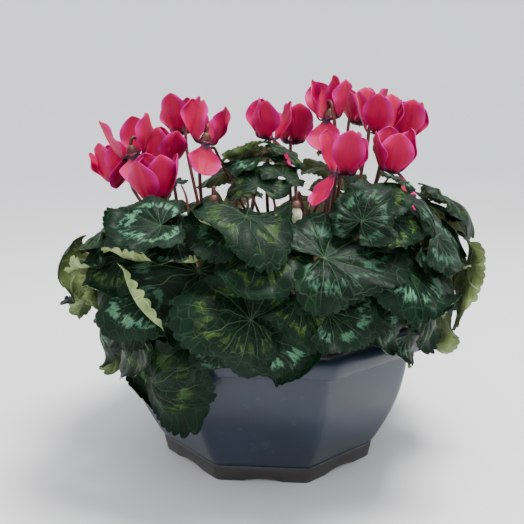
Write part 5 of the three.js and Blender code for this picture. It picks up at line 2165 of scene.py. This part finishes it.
# ------------------------------------------------------------------ blooms, stalks and buds
@dataclass
class Bloom:
    """An open flower: five swept-back petals round a short dark throat."""

    index: int
    scape: Scape
    petal_columns: int = 12
    petal_rows: int = 26
    petal_thickness: float = 0.45
    ruffle: float = 1.15
    crease: float = 0.7
    throat: Profile = ((0.0, 4.6), (2.2, 4.4), (4.4, 3.8), (5.3, 2.6), (5.2, 1.2), (4.4, 0.4),
                       (3.5, 0.8), (3.0, 2.2), (0.0, 2.6))
    style: Profile = ((0.0, 2.8), (0.45, 2.6), (0.4, 0.4), (0.3, -1.2), (0.0, -1.6))

    def petal_place(self, petal: PetalForm, number: int) -> Surface:
        """Gives the surface of one petal with its creases and waved edge.

        Args:
            petal: The petal's form.
            number: Number that its irregularities are drawn from.

        Returns:
            A function from sheet coordinates to positions.
        """
        bloom = self.scape.frame

        def place(u: Array, v: Array) -> Array:
            """Position on the petal, from its base at v = 0 to its tip.

            Args:
                u: Across it.
                v: Along it.

            Returns:
                The positions.
            """
            s = 1 - (1 - v) ** 1.35
            x = 2 * u - 1
            pointed = 1.12 * (1 - np.clip((s - 0.58) / 0.42, 0, 1) ** 2) ** 0.22
            base = petal_surface(bloom, petal, s, x * pointed)
            wave = np.sin(7 * s + 6.28 * spread(number, 6)) * np.sign(x)
            wave = wave + np.sin(13 * s + 9 * spread(number, 7))
            ruffle = self.ruffle * wave * np.abs(x) ** 2 * smooth(s, 0.25, 0.7)
            ruffle = ruffle * (1 - smooth(s, 0.9, 1))
            crease = -self.crease * np.exp(-((x / 0.13) ** 2)) * smooth(s, 0.1, 0.3)
            crease = crease * (1 - smooth(s, 0.75, 1))
            return base + (ruffle + crease)[:, None] * bloom.outward(petal, petal.angle(s))

        return place

    def build(self, finishes: Finishes) -> None:
        """Makes the petals and the throat.

        Args:
            finishes: The planting's finishes.
        """
        piece = Piece(f"flower_{self.index + 1:02d}", finishes.petal, finishes.throat)
        matrix = self.scape.frame.matrix()
        piece.turned(self.throat, 20, matrix, 1)
        piece.turned(self.style, 8, matrix, 1)
        for number, petal in enumerate(petals_of(self.index), 5 * self.index):
            piece.sheet(self.petal_columns, self.petal_rows, self.petal_place(petal, number),
                        self.petal_thickness, spread(number, 8))
        piece.done("petal", f"bloom_{self.index + 1:02d}")


@dataclass
class FlowerStalk:
    """A flower stalk with its hook, and the calyx that holds the bloom."""

    index: int
    scape: Scape
    sides: int = 12
    taper: Profile = ((0, 1.7), (0.1, 1.5), (0.8, 1.35), (1, 1.25))
    cup: Profile = ((0.0, 9.9), (1.7, 9.7), (2.7, 8.6), (3.6, 6.8), (4.3, 4.4), (4.6, 3.4),
                    (4.0, 3.6), (0.0, 4.2))
    sepal: float = 1.3

    def build(self, finishes: Finishes) -> None:
        """Makes the stalk and the five sepals.

        Args:
            finishes: The planting's finishes.
        """
        piece = Piece(f"flower_stalk_{self.index + 1:02d}", finishes.scape, finishes.calyx)
        piece.tube(stalk_path(self.scape), self.taper, self.sides)
        bloom = self.scape.frame
        matrix = bloom.matrix()
        for vert in piece.turned(self.cup, 20, matrix, 1):
            local = matrix.inverted() @ vert.co
            if local.xy.length > 2:
                lobe = self.sepal * math.cos(5 * math.atan2(local.y, local.x))
                vert.co -= Vector(bloom.up) * (lobe * max(0.0, min(1.0, (6.8 - local.z) / 2.6)))
        piece.done("scape", f"scape_{self.index + 1:02d}")


def stalk_path(scape: Scape) -> Array:
    """Fine points along a stalk, from its root to the end of its hook.

    Args:
        scape: The laid stalk.

    Returns:
        The points in order.
    """
    rise = bezier(scape.rise, 30)
    ends = [rise[-2], rise[-1], *scape.hook]
    last = 2 * ends[-1] - ends[-2]
    hook = curve(np.array([*ends, last]), np.linspace(1, len(ends) - 1, 22))
    return np.concatenate([[scape.root], rise, hook[1:]])


def curve(values: Array, at: Array) -> Array:
    """Smooth curve through evenly numbered values.

    Args:
        values: Values at 0, 1, 2 and so on, one to a row.
        at: Where the curve is read.

    Returns:
        The curve's values.
    """
    last = len(values) - 1
    k = np.clip(np.floor(at).astype(int), 0, last - 1)
    t = (at - k)[:, None]
    p0, p1, p2, p3 = (values[np.clip(k + j, 0, last)] for j in (-1, 0, 1, 2))
    square = (2 * p0 - 5 * p1 + 4 * p2 - p3) * t**2
    cube = (3 * p1 - p0 - 3 * p2 + p3) * t**3
    return 0.5 * (2 * p1 + (p2 - p0) * t + square + cube)


@dataclass
class FlowerBud:
    """An unopened bud of petals rolled round each other, hanging from its stalk."""

    index: int
    scape: Scape
    tip: Array
    taper: Profile = ((0, 1.6), (0.1, 1.4), (1, 1.2))
    cup: Profile = ((0.0, 16.2), (1.6, 15.8), (2.7, 14.4), (3.3, 12.2), (3.2, 11.4), (2.6, 12.0),
                    (0.0, 13.0))
    girth: float = 3.7
    length: float = 15.5

    def build(self, finishes: Finishes) -> None:
        """Makes the stalk, the calyx and the bud.

        Args:
            finishes: The planting's finishes.
        """
        piece = Piece(f"flower_bud_{self.index + 1:02d}", finishes.scape, finishes.bud,
                      finishes.calyx)
        piece.tube(stalk_path(self.scape), self.taper, 10)

        def place(u: Array, v: Array) -> Array:
            """Position on the rolled petals, from the bud's tip at v = 0 to its calyx.

            Args:
                u: Round it.
                v: Along it.

            Returns:
                The positions.
            """
            s = np.clip(v, 0, 1)
            fat = self.girth * np.sin(np.pi * s**0.72) ** 0.8 + 0.05
            around = math.tau * u + 2.2 * s
            ridge = 1 + 0.1 * np.cos(5 * math.tau * u)
            x, y = fat * ridge * np.cos(around), fat * ridge * np.sin(around)
            return self.tip + np.stack([x, y, self.length * s - 1.0], axis=-1)

        piece.sheet(20, 18, place, 0.3, 0.3, (1, 1))
        piece.turned(self.cup, 15, Matrix.Translation(Vector(self.tip)), 2)
        piece.done("bud", f"bud_{self.index + 1:02d}")


# ------------------------------------------------------------------ foliage
@dataclass
class Foliage:
    """All leaves of one CAD bunch: marbled blades with scalloped margins on their stalks."""

    node: str
    leaves: list[GrownLeaf]
    columns: int = 180
    rows: int = 20
    teeth: int = 36
    thickness: float = 0.5
    flat_share: float = 0.2
    roll_radius: float = 4.2
    spare: float = 5.0
    quilt: float = 0.75
    frill: float = 1.5
    scallop: float = 0.35
    taper: Profile = ((0, 1.7), (0.12, 1.35), (0.85, 1.15), (1, 0.7))

    @staticmethod
    def surface(leaf: GrownLeaf, angle: Array, out: Array) -> Array:
        """Points of a blade, bent as its control points are.

        Args:
            leaf: The leaf.
            angle: Angles from the tip in degrees.
            out: Distances from the petiole, 1 at the margin.

        Returns:
            Positions, one to a row.
        """
        shift = leaf.points - posed_blade(leaf.form, leaf.seat)
        at = (angle + LEAF.span) / (2 * LEAF.span)
        inner = curve(shift[1:1 + PLAN.inner], at * (PLAN.inner - 1))
        rim = curve(shift[1 + PLAN.inner:], at * (RIM_POINTS - 1))
        o = np.clip(out, 0, 1.1)[:, None]
        low = (o - RING) * (o - 1) / RING
        mid = o * (o - 1) / (RING * (RING - 1))
        high = o * (o - RING) / (1 - RING)
        base = move(leaf.form.point(angle, out), leaf_frame(leaf.form, leaf.seat))
        return base + low * shift[0] + mid * inner + high * rim

    def place(self, leaf: GrownLeaf) -> Surface:
        """Gives the fine surface of one blade, with teeth, waves and quilted veins.

        Args:
            leaf: The leaf.

        Returns:
            A function from sheet coordinates to positions.
        """
        i = leaf.index

        def place(u: Array, v: Array) -> Array:
            """Position on the blade, from its petiole at v = 0 to its margin.

            Args:
                u: Round it.
                v: Outwards.

            Returns:
                The positions.
            """
            angle, out = self.polar(u, v)
            tooth = np.abs(np.sin(math.pi * self.teeth * u)) ** 0.8 - 0.6
            irregular = 0.7 + 0.6 * np.sin(5.1 * angle / 57 + 6.28 * spread(i, 13)) ** 2
            full = out * (1 + LEAF.teeth * tooth * irregular * smooth(out, 0.7, 1))
            points = self.surface(leaf, angle, full)
            grid = points.reshape(self.rows + 1, self.columns + 1, 3)
            across = np.gradient(grid, axis=1)
            along = np.gradient(grid, axis=0)
            along[0] = along[1]
            across[0] = across[1]
            normal = unit(np.cross(along, across)).reshape(-1, 3)
            facing = np.sign(normal @ leaf_frame(leaf.form, leaf.seat)[:3, 2])
            normal *= np.where(facing == 0, 1, facing)[:, None]
            rib = np.sin(math.pi * angle / 28.7 + math.pi / 2) ** 2
            quilt = self.quilt * (1 - rib) ** 0.7 * smooth(out, 0.12, 0.5)
            quilt = quilt * (1 - 0.5 * smooth(out, 0.8, 1))
            turns = 2 * math.pi * u * (5 + 3 * spread(i, 14)) + 6.28 * spread(i, 15)
            frill = self.frill * np.sin(turns) * smooth(out, 0.6, 1) ** 2
            small = self.scallop * np.sin(math.pi * self.teeth * u + 1.0) * smooth(out, 0.86, 1)
            aside = np.abs(np.sin(np.radians(angle))) * out * outline(angle) * leaf.form.length
            fold = lerp(-0.04, 0.15, spread(i, 17)) * aside
            grid = (points + (quilt + frill + small + fold)[:, None] * normal).reshape(grid.shape)
            columns = angle[: self.columns + 1]
            return self.curled(leaf, grid, normal.reshape(grid.shape), columns).reshape(-1, 3)

        return place

    @staticmethod
    def polar(u: Array, v: Array) -> tuple[Array, Array]:
        """Angle from the tip, and share of the way to the margin, of sheet coordinates."""
        return lerp(LEAF.span, -LEAF.span, u), 1 - (1 - v) ** 1.25

    def curled(self, leaf: GrownLeaf, grid: Array, normal: Array, angle: Array) -> Array:
        """Rolls a stretch of a blade's margin outwards where no other leaf covers it.

        Args:
            leaf: The leaf.
            grid: Its points, row by row from the petiole to the margin.
            normal: Its normals at the same points.
            angle: Angle of each column.

        Returns:
            The points with the margin rolled.
        """
        i = leaf.index
        shown = np.convolve(leaf.bare, [0.5, 1, 0.5], mode="same")
        liked = shown + np.array([0.8 * spread(i + k, 18) for k in range(RIM_POINTS)])
        middle = RIM_ANGLES[int(np.argmax(liked))]
        most = 0.0 if spread(i, 19) < self.flat_share else lerp(0.42, 0.8, spread(i, 20))
        window = np.exp(-(((angle - middle) / lerp(24, 46, spread(i, 21))) ** 4))
        strength = most * window * np.interp(angle[::-1], RIM_ANGLES, leaf.bare)[::-1]
        start = int(round(self.rows * 0.6))
        lengths = np.linalg.norm(np.diff(grid[start:], axis=0), axis=2)
        run = np.concatenate([np.zeros((1, len(angle))), np.cumsum(lengths, axis=0)])
        along = unit(grid[start] - grid[start - 1])
        low, high = (np.array(corner) / MM for corner in CAD_BOX)
        for eased in (1.0, 0.75, 0.5, 0.25):
            bend_radius = self.roll_radius / np.maximum(strength * eased, 0.05)
            turn = (run / bend_radius)[..., None]
            arc = along * np.sin(turn) + normal[start] * (1 - np.cos(turn))
            share = smooth(strength * eased, 0, 0.3)[:, None]
            rolled = grid[start] + bend_radius[:, None] * arc
            margin = grid[start:] * (1 - share) + rolled * share
            if ((margin > low - self.spare) & (margin < high + self.spare)).all():
                grid[start:] = margin
                break
        return grid

    def chart(self, u: Array, v: Array) -> Array:
        """Flat coordinates of the blade, with its petiole in the middle of the unit square.

        Args:
            u: Round it.
            v: Outwards.

        Returns:
            The coordinates.
        """
        angle, out = self.polar(u, v)
        reach, turn = out * outline(angle) / CHART, np.radians(angle)
        return np.stack([0.5 + reach * np.cos(turn), 0.5 + reach * np.sin(turn)], axis=-1)

    def build(self, finishes: Finishes) -> None:
        """Makes the stalks and the blades.

        Args:
            finishes: The planting's finishes.
        """
        name = self.node.replace("leaves", "foliage")
        piece = Piece(name, finishes.petiole, finishes.blade, finishes.under)
        for leaf in self.leaves:
            path = bezier(leaf.stalk, 22)
            root = path[0] - LEAF.stub_top * unit(path[1] - path[0])
            path[-1] -= 0.9 * unit(path[-1] - path[-2])
            piece.tube(np.concatenate([[root], path]), self.taper, 8)
        for leaf in self.leaves:
            piece.sheet(self.columns, self.rows, self.place(leaf), self.thickness,
                        spread(leaf.index, 16), (1, 2), self.chart)
        piece.done("leaf", self.node)


def bunches(leaves: Sequence[GrownLeaf]) -> dict[str, list[GrownLeaf]]:
    """Sorts leaves by the CAD node that holds them.

    Args:
        leaves: All leaves.

    Returns:
        The leaves of each node, by its name.
    """
    trees = {}
    for name, node in frame["nodes"].items():
        if name.startswith("leaves"):
            corners = [v.co.copy() for v in node.data.vertices]
            polygons = [tuple(p.vertices) for p in node.data.polygons]
            trees[name] = BVHTree.FromPolygons(corners, polygons)
    found = {name: [] for name in trees}
    for leaf in leaves:
        spots = [Vector(p * MM) for p in leaf.points]
        away = {name: sum(tree.find_nearest(p)[3] for p in spots) for name, tree in trees.items()}
        found[min(away, key=away.get)].append(leaf)
    return found


# ------------------------------------------------------------------ studio
@dataclass(frozen=True)
class Lamp:
    """A square area light that faces the plant, in metres and watts."""

    name: str
    at: tuple[float, float, float]
    size: float
    power: float

    def build(self, target: Vector) -> None:
        """Hangs the lamp so that it faces a place.

        Args:
            target: The place it faces.
        """
        lamp = bpy.data.lights.new(self.name, "AREA")
        lamp.size = self.size
        lamp.energy = self.power
        made = shown(self.name, lamp)
        made.location = self.at
        made.rotation_euler = (Vector(self.at) - target).to_track_quat("Z", "Y").to_euler()


@dataclass
class Studio:
    """Pale floor, soft light and a camera that stands where the photograph was taken."""

    lens: float = 49.47
    camera_at: tuple[float, float, float] = (0.0370, -0.5793, 0.2802)
    tilt: float = 77.602
    pan: float = 4.291
    cove: Profile = ((0, 0), (1.5, 0), (2.0, 0.06), (2.4, 0.3), (2.65, 0.8), (2.75, 1.5),
                     (2.75, 2.4))
    paint: tuple[float, float, float, float] = (0.86, 0.86, 0.86, 1)
    sky: tuple[float, float, float, float] = (0.93, 0.95, 1.0, 1)
    sky_strength: float = 1.2
    plant_height: float = 0.15
    lamps: tuple[Lamp, ...] = (
        Lamp("key", (0.35, -0.1, 1.7), 0.6, 46),
        Lamp("fill", (-0.9, -1.5, 1.0), 1.2, 4),
    )

    def build(self) -> None:
        """Sets up floor, light and camera."""
        bm = bmesh.new()
        spin(bm, self.cove, 96)
        bmesh.ops.remove_doubles(bm, verts=bm.verts, dist=0.0001)
        bmesh.ops.recalc_face_normals(bm, faces=bm.faces)
        bmesh.ops.reverse_faces(bm, faces=bm.faces)
        for face in bm.faces:
            face.smooth = True
        paint = Shader("floor_paint", Base_Color=self.paint, Roughness=0.7).material
        floor = shown("floor", finished("floor", bm, paint))
        world = bpy.data.worlds.new("studio")
        world.use_nodes = True
        background = world.node_tree.nodes["Background"].inputs
        background["Color"].default_value = self.sky
        background["Strength"].default_value = self.sky_strength
        bpy.context.scene.world = world
        for lamp in self.lamps:
            lamp.build(Vector((0, 0, self.plant_height)))
        lens = bpy.data.cameras.new("camera")
        lens.lens = self.lens
        lens.clip_start = 0.01
        camera = shown("camera", lens)
        camera.location = self.camera_at
        camera.rotation_euler = (math.radians(self.tilt), 0, math.radians(self.pan))
        bpy.context.scene.camera = camera


def main() -> None:
    """Builds the studio and then every part of the planting."""
    logging.basicConfig(level=logging.INFO, format="%(name)s %(message)s")
    Studio().build()
    finishes = Finishes()
    bowl = Bowl()
    bowl.build(finishes)
    bowl.soil(finishes)
    for plant in Plant:
        Tuber(plant).build(finishes)
    planting = Planting()
    for i, scape in enumerate(planting.scapes):
        FlowerStalk(i, scape).build(finishes)
        Bloom(i, scape).build(finishes)
    for i, scape in enumerate(planting.buds):
        FlowerBud(i, scape, np.array(BUDS[i].at, float)).build(finishes)
    for node, leaves in bunches(planting.leaves).items():
        Foliage(node, leaves).build(finishes)


if __name__ == "__main__":
    main()
